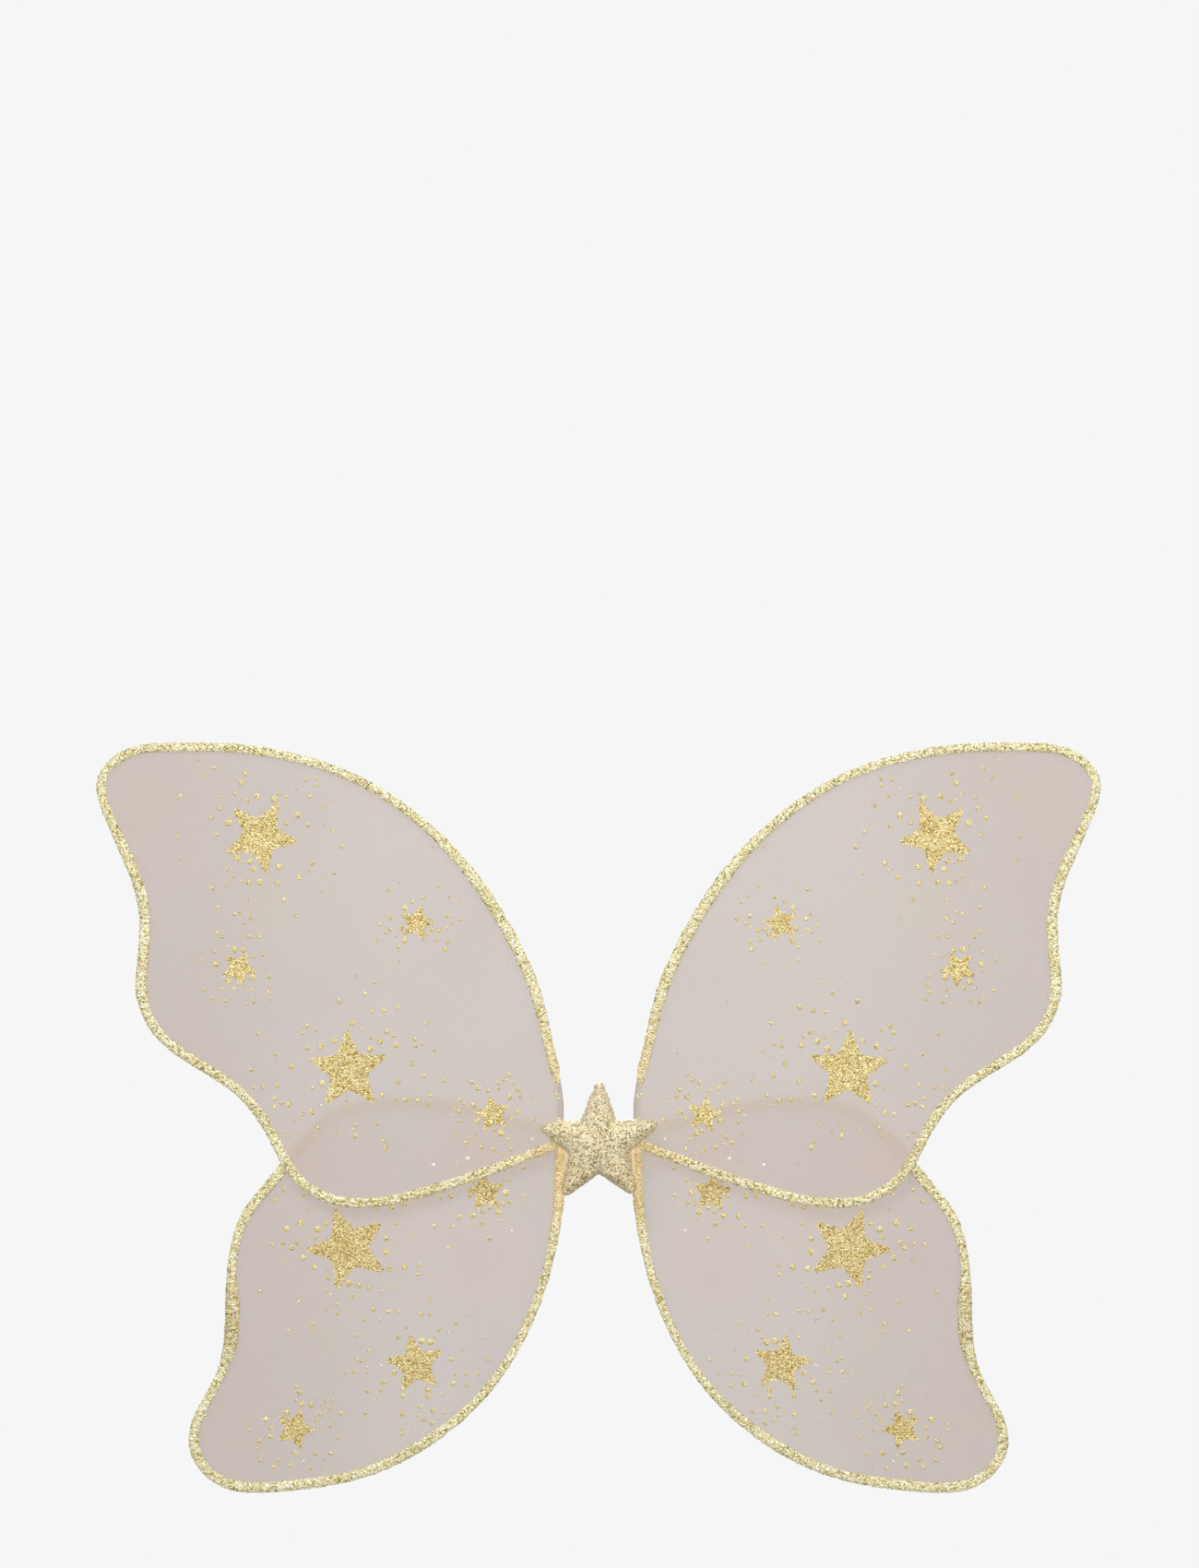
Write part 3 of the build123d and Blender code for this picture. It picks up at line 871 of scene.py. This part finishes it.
def make_prints(wing, spec, panel, seed):
    """The stars, the dots round them and the few pearl dots on the front of a wing."""
    rng = np.random.default_rng(seed)
    parts, tone = [], []
    for x, z, r, lean in spec["stars"]:
        ragged = 0.045 * r + 0.12
        # The tips reach just past the star's radius, and are blunt. The inner corners are shallow.
        loop = star_line(r * 1.04, r * 0.48 + 0.6, lean, 0.6, 0.04, 0.035 * r + 0.2) + [x, z]
        loop = loop + wobble(loop, 1.4, seed)[:, None] * outward(loop) * ragged * 0.5
        parts.append(slab(loop, grid(loop, 0.62), panel.depth, 0.3, rng, 0.28))
        tone.append(np.full(len(parts[-1][0]), 0.25 if wing == "lower" else 0.0))
    spots = scatter(spec, panel, rng)
    levels = panel.depth(np.array([s[:2] for s in spots]))
    for (x, z, size), y in zip(spots, levels):
        parts.append(dome(x, z, y, size, rng))
        tone.append(rng.random(len(parts[-1][0])) * 0.6 - 0.85)
    points, faces = joined(parts)
    tone = np.concatenate(tone)
    for side, obj in both_sides(f"{wing}_glitter_print", points, faces, "print", tone=tone):
        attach(obj, f"{side}_{wing}_wing")
        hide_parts(f"{side}_{wing}_glitter_stars")
    pearls = [(x, z, size * 0.8) for x, z, size in spec["pearls"]]
    levels = panel.depth(np.array(pearls)[:, :2])
    points, faces = joined([dome(x, z, y, size, rng, 14) for (x, z, size), y in zip(pearls, levels)])
    for side, obj in both_sides(f"{wing}_pearl_dots", points, faces, "pearl", True):
        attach(obj, f"{side}_{wing}_wing")


# ---- wire channels --------------------------------------------------------------------------
def make_channel(wing, spec, seed):
    """A satin sleeve round the root of the wire, with its seam allowance sewn to the pad."""
    rng = np.random.default_rng(seed)
    low, high = spec["channel"]
    root, plane = spec["root"], spec["plane"]
    section = []
    for angle in np.linspace(-152, 152, 40):
        turn = math.radians(angle)
        section.append((root + SLEEVE_R * math.cos(turn), plane + SLEEVE_R * math.sin(turn)))
    section += [(x, plane + lift) for x, lift in SLEEVE_EDGES]
    section = rounded(spaced(np.array(section), 0.35), 1)
    middle = np.array([root, plane])
    way = section - middle
    far = np.linalg.norm(way, axis=1)
    turn = np.arctan2(way[:, 1], way[:, 0])
    rings = [inner_ring(section, middle, low + 1.2), inner_ring(section, middle, low + 0.1)]
    for z in np.arange(low, high + 0.01, 0.45):
        end = min(z - low, high - z)
        hem = 0.12 * math.exp(-((end - 0.9) / 0.35) ** 2) - 0.25 * (1 - smoothstep(end, 0, 0.5))
        hem *= wing == "upper" or z > 0
        crease = 0.28 * np.array([noise.noise((t * 3.1 + seed, z * 0.09, seed)) for t in turn])
        crease += 0.1 * np.array([noise.noise((t * 9.0 + seed, z * 0.25, seed + 3)) for t in turn])
        if wing == "lower":  # its bottom half is dusted with glitter, and pinched at the hem
            dusted = 1 - smoothstep(z, -3.0, 0.5)
            crease = crease * (1.8 - dusted) + 0.4 * dusted + rng.normal(0, 0.1, len(turn)) * dusted
        scale = 1 + (crease + hem) / far * smoothstep(4.6 - far, 0, 1.5)
        squeeze = 1 - 0.3 * (1 - smoothstep(z, low, low + 5)) * (wing == "lower")
        flat = middle + way * scale[:, None] * [1, squeeze]
        rings.append(np.column_stack([flat[:, 0], flat[:, 1], np.full(len(flat), z)]))
    rings += [inner_ring(section, middle, high - 0.1), inner_ring(section, middle, high - 1.2)]
    points, faces = lofted(rings)
    glint = smoothstep(points[:, 0], root - 3.0, root - 2.0)
    if wing == "lower":
        glint *= 1 - smoothstep(points[:, 2], -3.5, -0.5)
    else:
        glint *= 0.45
    for side, obj in both_sides(f"{wing}_wire_sleeve", points, faces, "channel", True, glint=glint):
        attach(obj, "hub")
        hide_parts(f"{side}_{wing}_wire_channel")


def make_gather(seed=21):
    """A creased satin strip at each root, from the pad down behind the star's lower points."""
    rings = []
    for z in np.arange(1.0, -24.6, -0.5):
        middle = 17.35 + 0.035 * (1.0 - z)
        half = 1.75 - 0.6 * float(smoothstep(-z, 14, 25)) + 0.8 * float(smoothstep(z, -5, 1))
        rear = -8.7 + 1.1 * float(smoothstep(-z, 13, 19))
        front, back = [], []
        for u in np.linspace(-1, 1, 19):
            fold = noise.noise((u * 2.6 + seed, z * 0.045, 0.0))
            fold += 0.5 * noise.noise((u * 5.5, z * 0.12, seed))
            crest = rear - 0.7 - 1.3 * fold * (1 - u ** 8)
            front.append((middle + u * half, crest, z))
            back.append((middle + u * half * 0.96, crest + 0.5, z))
        rings.append(np.array(front + back[::-1]))
    points, faces = lofted(rings, caps=True)
    glint = np.zeros(len(points))
    for _, obj in both_sides("root_gather", points, faces, "channel", True, glint=glint):
        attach(obj, "hub")


def inner_ring(section, middle, z):
    """The sleeve's bore, with as many points as its outside has."""
    way = section - middle
    flat = middle + way / np.linalg.norm(way, axis=1)[:, None] * SLEEVE_BORE_R
    return np.column_stack([flat[:, 0], flat[:, 1], np.full(len(flat), z)])


# ---- stuffed pieces -------------------------------------------------------------------------
def applied(obj):
    """The points, in metres, and faces of an object with its modifiers applied. The object is removed."""
    found = obj.evaluated_get(bpy.context.evaluated_depsgraph_get()).to_mesh()
    points = np.array([v.co[:] for v in found.vertices])
    faces = [list(p.vertices) for p in found.polygons]
    mesh = obj.data
    bpy.data.objects.remove(obj)
    bpy.data.meshes.remove(mesh)
    return points, faces


def inflate(name, points, faces, pinned, pressure, shrink):
    """Points of a sewn form after its filling has swelled it. It is simulated at ten times life size."""
    obj = add_mesh(name, points * 10, faces, "pad", True)
    group = obj.vertex_groups.new(name="seam")
    group.add([int(v) for v in pinned], 1.0, "REPLACE")
    cloth = obj.modifiers.new("Cloth", "CLOTH")
    cloth.point_cache.frame_start = 1
    cloth.point_cache.frame_end = FILL_FRAMES
    settings = cloth.settings
    settings.quality = 7
    settings.mass = 0.2
    settings.tension_stiffness = settings.compression_stiffness = 12
    settings.shear_stiffness = 8
    settings.bending_stiffness = 0.3
    settings.use_pressure = True
    settings.uniform_pressure_force = pressure
    settings.shrink_min = shrink
    settings.vertex_group_mass = "seam"
    settings.effector_weights.gravity = 0
    for k in range(1, FILL_FRAMES + 1):
        bpy.context.scene.frame_set(k)
    moved, _ = applied(obj)
    bpy.context.scene.frame_set(1)
    return moved * 100


def finer(points, faces, levels):
    """Catmull-Clark subdivision: (points, faces)."""
    obj = add_mesh("finer", points, faces, "pad", True)
    modifier = obj.modifiers.new("Subdivision", "SUBSURF")
    modifier.levels = levels
    points, faces = applied(obj)
    return points / MM, faces


# Each point of the stuffed star, clockwise from the top, and the corner after it: the radius at which the
# sides would meet and its direction in degrees. It is hand filled, so no two are quite alike.
STUFFED_POINTS = [(39.6, 89.0, 16.4, 53.8), (39.4, 18.5, 17.8, -18.0), (39.0, -55.0, 17.4, -89.5),
                  (40.0, -124.0, 17.8, -159.5), (37.6, 165.0, 16.4, 127.0)]


def plump_outline():
    """The stuffed star's seam: blunt rounded points and nearly sharp inner corners."""
    line = []
    for tip, turn, inner, inner_turn in STUFFED_POINTS:
        line += [(tip, math.radians(turn), 3.3), (inner, math.radians(inner_turn), 0.9)]
    corners = np.array([(r * math.cos(a), r * math.sin(a)) for r, a, _ in line])
    loop = []
    for k, (_, _, bend) in enumerate(line):
        spot, before, after = corners[k], corners[k - 1], corners[(k + 1) % 10]
        back, on = [(p - spot) / np.linalg.norm(p - spot) for p in (before, after)]
        half = math.acos(float(np.clip(back @ on, -1, 1))) / 2
        centre = spot + (back + on) / np.linalg.norm(back + on) * bend / math.sin(half)
        start, end = [spot + way * bend / math.tan(half) - centre for way in (back, on)]
        first, last = math.atan2(start[1], start[0]), math.atan2(end[1], end[0])
        turn = first + ((last - first + math.pi) % (2 * math.pi) - math.pi) * np.linspace(0, 1, 14)
        loop.append(centre + bend * np.column_stack([np.cos(turn), np.sin(turn)]))
    return np.vstack(loop)


def outside_filling(points, node, gap):
    """Moves a skin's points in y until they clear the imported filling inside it."""
    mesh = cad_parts[node].data
    filling = BVHTree.FromPolygons([v.co / MM for v in mesh.vertices], [p.vertices[:] for p in mesh.polygons])
    for k, (x, y, z) in enumerate(points):
        way = 1 if y < STAR_SEAM_Y else -1
        hit = filling.ray_cast(Vector((x, -60 * way, z)), Vector((0, way, 0)))[0]
        if hit is not None:
            points[k, 1] = min(y, hit.y - gap) if way > 0 else max(y, hit.y + gap)
    return points


def make_star(seed=31):
    """The stuffed star: two glitter skins that meet at a seam, filled, with a coarse glitter face."""
    rng = np.random.default_rng(seed)
    loop = spaced(plump_outline(), 1.5)
    flat, faces = filled(loop, grid(loop, 1.6))
    rim = len(loop)
    far = distances(flat, loop)
    far[:rim] = 0
    # Before it is filled, the form rises from the seam on a quarter circle, more in front than behind.
    puff = np.sqrt(1 - (1 - np.minimum(far / 9.0, 1)) ** 2)
    front = np.column_stack([flat[:, 0], -9.0 * puff, flat[:, 1]])
    back = np.column_stack([flat[rim:, 0], 5.0 * puff[rim:], flat[rim:, 1]])
    points = np.vstack([front, back])
    offset = len(flat) - rim
    under = [[v if v < rim else v + offset for v in f] for f in faces]
    every = face_to(points, faces, -1) + face_to(points, under, 1)
    points = inflate("star_form", points, every, np.arange(rim), 20.0, -0.06)
    y = points[:, 1]
    ahead = STAR_FRONT * (np.maximum(-y, 0) / -y.min()) ** 0.78
    behind = STAR_BACK * (np.maximum(y, 0) / y.max()) ** 0.85
    # The arms of the star thin out behind, where the wings pass.
    clear_of_wings = 4.6 - 0.62 * np.maximum(np.abs(points[:, 0]) - 24.0, -3.0)
    behind = np.minimum(behind, np.maximum(clear_of_wings, 0.4))
    points[:, 1] = np.where(y < 0, -ahead, behind)
    points, every = finer(points, every, 2)
    reach = np.linalg.norm(points[:, [0, 2]], axis=1)
    edge = distances(points[:, [0, 2]], loop)
    points[:, 1] += np.where(points[:, 1] < -0.4, wobble(points, 6.0, seed) * 0.3 * smoothstep(edge, 0, 3), 0)
    points += rng.normal(0, 0.09, points.shape) * np.where(edge < 0.4, 0.5, 1.0)[:, None]
    points[:, 1] = np.clip(points[:, 1], -STAR_FRONT - 0.3, STAR_BACK + 0.2)
    # Painted shade and painted highlight: tone darkens the points' lower sides (low) and lightens the top
    # (high).
    low = smoothstep(-points[:, 2] / np.maximum(reach, 1), 0.1, 0.9) * smoothstep(reach, 8, 30)
    high = smoothstep(points[:, 2], 6, 24)
    points = outside_filling(points + [0, STAR_SEAM_Y, STAR_CENTRE_Z], "star_stuffing", 0.3)
    star = add_mesh("stuffed_star", points, every, "star", tone=0.02 + 0.5 * low - 0.42 * high)
    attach(star, "hub")
    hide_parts("star_front_skin", "star_back_skin")


def box_form(half, step):
    """A closed box of even quads, centred on the origin: (points, faces)."""
    counts = [max(2, round(2 * h / step)) for h in half]
    spots, faces = {}, []

    def spot(i, j, k):
        return spots.setdefault((i, j, k), len(spots))

    for axis in range(3):
        u, v = (axis + 1) % 3, (axis + 2) % 3
        for end in (0, counts[axis]):
            for a in range(counts[u]):
                for b in range(counts[v]):
                    ring = []
                    for da, db in ((0, 0), (1, 0), (1, 1), (0, 1)):
                        key = [0, 0, 0]
                        key[axis], key[u], key[v] = end, a + da, b + db
                        ring.append(spot(*key))
                    faces.append(ring if end else ring[::-1])
    points = (np.array(list(spots)) / counts * 2 - 1) * half
    return points, faces


def make_pad(seed=41):
    """The back pad: a filled cotton cushion, flat behind, with a corded seam round its sides."""
    points, faces = box_form(np.array(PAD_HALF), 1.5)
    share = points / PAD_HALF
    corner = np.clip(np.abs(share) - 0.72, 0, 1)
    points = points - np.sign(points) * corner.sum(1)[:, None] ** 2 * corner * 8
    seam = np.flatnonzero(np.abs(points[:, 1] + 0.5) < 0.75)
    rim = [v for v in seam if abs(share[v, 0]) > 0.98 or abs(share[v, 2]) > 0.98]
    points = inflate("pad_form", points, faces, rim, 3.0, -0.02)
    middle = [0, PAD_MIDDLE_Y, 0]
    points, faces = finer(np.clip(points + middle, PAD_LOW, PAD_HIGH), faces, 1)
    inside_cover = (points - middle) * [0.95, 0.91, 0.94] + middle
    block = add_mesh("pad_foam_block", inside_cover, faces, "foam", True)
    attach(block, "hub")
    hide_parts("pad_foam")
    points[:, 1] += np.where(points[:, 1] > -1, 0, wobble(points, 7.0, seed) * 0.12)
    pad = add_mesh("back_pad", points, faces, "pad", True)
    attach(pad, "hub")
    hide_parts("pad_front_cover", "pad_rear_cover")
    ring = pad_outline(points, PAD_SEAM_Y)
    piping_points, piping_faces = lofted(tube_rings(ring, 0.75, 12, True, 0.06), closed_path=True)
    piping = add_mesh("pad_piping", piping_points, piping_faces, "pad", True)
    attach(piping, "hub")
    stitches("pad_seam_stitches", ring, (0, -1.55, 0))
    stitches("pad_rear_stitches", ring, (0, 1.55, 0))


def pad_outline(points, y):
    """The pad's outline at one depth, found on its mesh, in order."""
    near = points[np.abs(points[:, 1] - y) < 1.0]
    turn = np.arctan2(near[:, 2], near[:, 0])
    ring = []
    for angle in np.linspace(-math.pi, math.pi, 120, endpoint=False):
        gap = np.abs((turn - angle + math.pi) % (2 * math.pi) - math.pi)
        pick = near[gap < 0.09]
        ring.append(pick[np.argmax(np.hypot(pick[:, 0], pick[:, 2]))][[0, 2]])
    ring = spaced(rounded(np.array(ring), 1, 1), 0.8)
    return np.column_stack([ring[:, 0], np.full(len(ring), y), ring[:, 1]])


def tube_rings(path, radius, sides, closed=True, twist=0.0):
    """Round rings along a line; twist adds the plies of a cord."""
    path = np.asarray(path, float)
    if closed:
        along = np.roll(path, -1, axis=0) - np.roll(path, 1, axis=0)
    else:
        along = np.gradient(path, axis=0)
    along /= np.linalg.norm(along, axis=1)[:, None]
    rings = []
    up = np.array([0, 1.0, 0]) if abs(along[0][1]) < 0.9 else np.array([1.0, 0, 0])
    for k, (spot, way) in enumerate(zip(path, along)):
        side = np.cross(way, up)
        side /= np.linalg.norm(side)
        other = np.cross(side, way)
        turn = np.arange(sides) / sides * 2 * math.pi
        r = radius * (1 + twist * np.cos(2 * turn + k * 1.1))
        rings.append(spot + side * (r * np.cos(turn))[:, None] + other * (r * np.sin(turn))[:, None])
    return rings


def thread_bit(path, radius):
    return lofted(tube_rings(path, radius, 6, closed=False), caps=True)


def stitches(name, ring, shift):
    """A row of short thread loops that dip into the cloth beside a seam."""
    line = spaced(ring + shift, 1.9)
    parts = []
    for first, second in zip(line, np.roll(line, -1, axis=0)):
        share = np.linspace(0.12, 0.88, 6)[:, None]
        sink = first * [1, 0, 1] / max(1e-6, np.linalg.norm(first[[0, 2]]))
        bow = (np.sin(share * math.pi) - 0.55) * 0.45
        parts.append(thread_bit(first + (second - first) * share + sink * bow, 0.28))
    points, faces = joined(parts)
    obj = add_mesh(name, points, faces, "thread", True)
    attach(obj, "hub")


# ---- arm loops ------------------------------------------------------------------------------
def strap_centre():
    """The middle of the elastic band, from the side of the pad, round the loop and back."""
    tangent = math.asin((BAND_LOOP_R - BAND_APART) / BAND_REACH)
    turn = np.linspace(-(math.pi / 2 + tangent), math.pi / 2 + tangent, 60)
    arc = np.column_stack([BAND_REACH + BAND_LOOP_R * np.cos(turn), BAND_LOOP_R * np.sin(turn)])
    run = np.linspace(0, 1, 40)[:-1, None]
    near, far = np.array([1.5, -BAND_APART]), np.array([1.5, BAND_APART])
    local = np.vstack([near + (arc[0] - near) * run, arc, arc[-1] + (far - arc[-1]) * (run + 1 / 39)])
    cos, sin = math.cos(math.radians(BAND_LEAN)), math.sin(math.radians(BAND_LEAN))
    loop = local @ np.array([[cos, sin], [-sin, cos]]) + BAND_FOLD
    y = BAND_FOLD[1]
    start = [(x, y - BAND_APART) for x in (16.6, 20.0, 24.0)]
    end = [(x, y + BAND_APART) for x in (24.0, 20.0, 16.6)]
    fine = spaced(np.vstack([start, loop, end]), 1.0, closed=False)
    kept = fine.copy()
    for _ in range(3):
        fine[1:-1] = (fine[:-2] + 2 * fine[1:-1] + fine[2:]) / 4
    fine[:2], fine[-2:] = kept[:2], kept[-2:]
    return fine


def make_strap():
    """Both arm loops: a ribbed band with thinner edges."""
    path = strap_centre()
    along = np.gradient(path, axis=0)
    along /= np.linalg.norm(along, axis=1)[:, None]
    normal = np.column_stack([-along[:, 1], along[:, 0]])
    profile, rib = [], []
    across = np.linspace(-BAND_HALF_WIDTH, BAND_HALF_WIDTH, 41)
    for way in (1, -1):
        for v in across[::way]:
            ridge = 0.5 + 0.5 * math.cos(v / BAND_HALF_WIDTH * math.pi * BAND_RIBS)
            edge = smoothstep(BAND_HALF_WIDTH - abs(v), 0, 0.5)
            thick = (BAND_HALF_THICKNESS - 0.1 + 0.1 * ridge) * (0.35 + 0.65 * edge)
            profile.append((way * thick, v))
            rib.append(ridge * 0.8 if edge > 0.99 else 1.0)
    profile = np.array(profile)
    rings = []
    for spot, out in zip(path, normal):
        flat = spot + out * profile[:, :1]
        rings.append(np.column_stack([flat, profile[:, 1]]))
    points, faces = lofted(rings, caps=True)
    tone = np.tile(rib, len(path))
    for side, obj in both_sides("arm_strap", points, faces, "elastic", True, rib=tone):
        way = SIDES[side]
        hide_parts(f"{side}_arm_loop", f"{side}_arm_loop_end")
        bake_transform(obj)


def make_bar_tacks():
    """Zigzag stitches through both ends of each band, beside the pad."""
    parts = []
    for y in (-2.56, -0.04):
        rows = np.linspace(-4.0, 4.0, 18)
        for k, z in enumerate(rows[:-1]):
            x0, x1 = (18.4, 20.4) if k % 2 else (20.4, 18.4)
            share = np.linspace(0, 1, 5)[:, None]
            start, end = np.array([x0, y, z]), np.array([x1, y, rows[k + 1]])
            parts.append(thread_bit(start + (end - start) * share, 0.17))
    points, faces = joined(parts)
    for _, obj in both_sides("strap_bar_tacks", points, faces, "thread", True):
        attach(obj, "hub")


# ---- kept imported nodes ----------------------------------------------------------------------
def dress_packed_nodes():
    """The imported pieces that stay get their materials."""
    looks = {"wire_frame": "wire", "wire_ferrule": "ferrule", "star_stuffing": "stuffing",
             "star_stitches": "thread"}
    for name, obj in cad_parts.items():
        for ending, look in looks.items():
            if name.endswith(ending):
                obj.data.materials.clear()
                obj.data.materials.append(LOOKS[look])


# ---- camera, floor and lights ---------------------------------------------------------------
def make_camera():
    """It looks level at the wings from 5 m. The picture's longer side takes in 0.85 m there."""
    camera = bpy.data.objects.new("camera", bpy.data.cameras.new("camera"))
    bpy.context.scene.collection.objects.link(camera)
    camera.location = (0.0005, -5.011, 0.1975)
    camera.rotation_euler = (math.pi / 2, 0, 0)
    camera.data.sensor_width = 36.0
    camera.data.lens = 36.0 * 5.0 / 0.85
    camera.data.clip_end = 100.0
    bpy.context.scene.camera = camera


def make_world():
    """Even pale studio air: bright behind the object, softer as a light."""
    world = bpy.data.worlds.new("studio")
    bpy.context.scene.world = world
    world.use_nodes = True
    tree = world.node_tree
    background = tree.nodes["Background"]
    path = tree.nodes.new("ShaderNodeLightPath")
    strength = tree.nodes.new("ShaderNodeMapRange")
    strength.inputs["To Min"].default_value = WORLD_LIGHT
    strength.inputs["To Max"].default_value = 1.0
    tree.links.new(path.outputs["Is Camera Ray"], strength.inputs["Value"])
    tree.links.new(strength.outputs["Result"], background.inputs["Strength"])
    background.inputs["Color"].default_value = (*srgb(STUDIO), 1.0)


def make_floor():
    """A pale floor below the wings. Away from them it glows as the studio does."""
    mesh = bpy.data.meshes.new("floor")
    corners = [(x, y, -0.25) for x, y in ((-12, -6), (12, -6), (12, 18), (-12, 18))]
    mesh.from_pydata(corners, [], [(0, 1, 2, 3)])
    floor = bpy.data.objects.new("floor", mesh)
    bpy.context.scene.collection.objects.link(floor)
    m = Nodes("floor_paper")
    out = m.tree.nodes["Material Output"]
    glow = m.add("ShaderNodeEmission")
    m.give(glow.inputs["Color"], STUDIO)
    reach = m.add("ShaderNodeVectorMath", operation="LENGTH")
    shifted = m.add("ShaderNodeVectorMath", operation="SUBTRACT")
    shifted.inputs[1].default_value = (0, -0.15, -0.25)
    m.link(m.place, shifted.inputs[0])
    m.link(shifted.outputs["Vector"], reach.inputs[0])
    fade = m.rescale(reach.outputs["Value"], 0.1, 0.38, 0.55, 1.0)
    mixed = m.add("ShaderNodeMixShader")
    m.link(fade, mixed.inputs["Fac"])
    m.link(m.surface.outputs["BSDF"], mixed.inputs[1])
    m.link(glow.outputs["Emission"], mixed.inputs[2])
    m.link(mixed.outputs["Shader"], out.inputs["Surface"])
    m.set(Base_Color=(0.74, 0.74, 0.74, 1.0), Roughness=0.9)
    mesh.materials.append(m.material)
    floor.visible_diffuse = floor.visible_glossy = False


def add_light(name, place, size, watts, shadow=True):
    """A warm white round lamp that faces the middle of the wings."""
    light = bpy.data.objects.new(name, bpy.data.lights.new(name, "AREA"))
    bpy.context.scene.collection.objects.link(light)
    light.data.shape = "DISK"
    light.data.size = size
    light.data.energy = watts
    light.data.color = srgb((255, 251, 246))
    light.data.use_shadow = shadow
    light.location = place
    light.rotation_euler = (Vector((0, 0, 0.02)) - Vector(place)).to_track_quat("-Z", "Y").to_euler()


make_camera()
make_world()
make_floor()
add_light("key", (-0.9, -1.9, 2.0), 1.3, 14)
add_light("front", (0.2, -2.7, 1.7), 1.2, 42, shadow=False)
add_light("fill", (1.6, -1.8, 0.4), 0.9, 6, shadow=False)
add_light("rim", (0.7, 1.7, 1.5), 0.6, 11)
add_light("back", (-0.4, 3.0, 1.2), 1.2, 26, shadow=False)
bpy.context.scene.view_settings.view_transform = "Standard"
bpy.context.scene.view_settings.look = "None"

lines = {wing_name: wire_line(wing_name, wing_spec) for wing_name, wing_spec in WINGS.items()}
for number, (wing_name, wing_spec) in enumerate(WINGS.items()):
    centre_line = lines[wing_name]
    other = lines["lower"] if wing_name == "upper" else None
    front_panel = make_fabric(wing_name, wing_spec, centre_line, other, 3 + 10 * number)
    make_edging(wing_name, wing_spec, centre_line, 5 + 10 * number)
    make_prints(wing_name, wing_spec, front_panel, 7 + 10 * number)
    make_channel(wing_name, wing_spec, 9 + 10 * number)
make_gather()
make_star()
make_pad()
make_strap()
make_bar_tacks()
dress_packed_nodes()
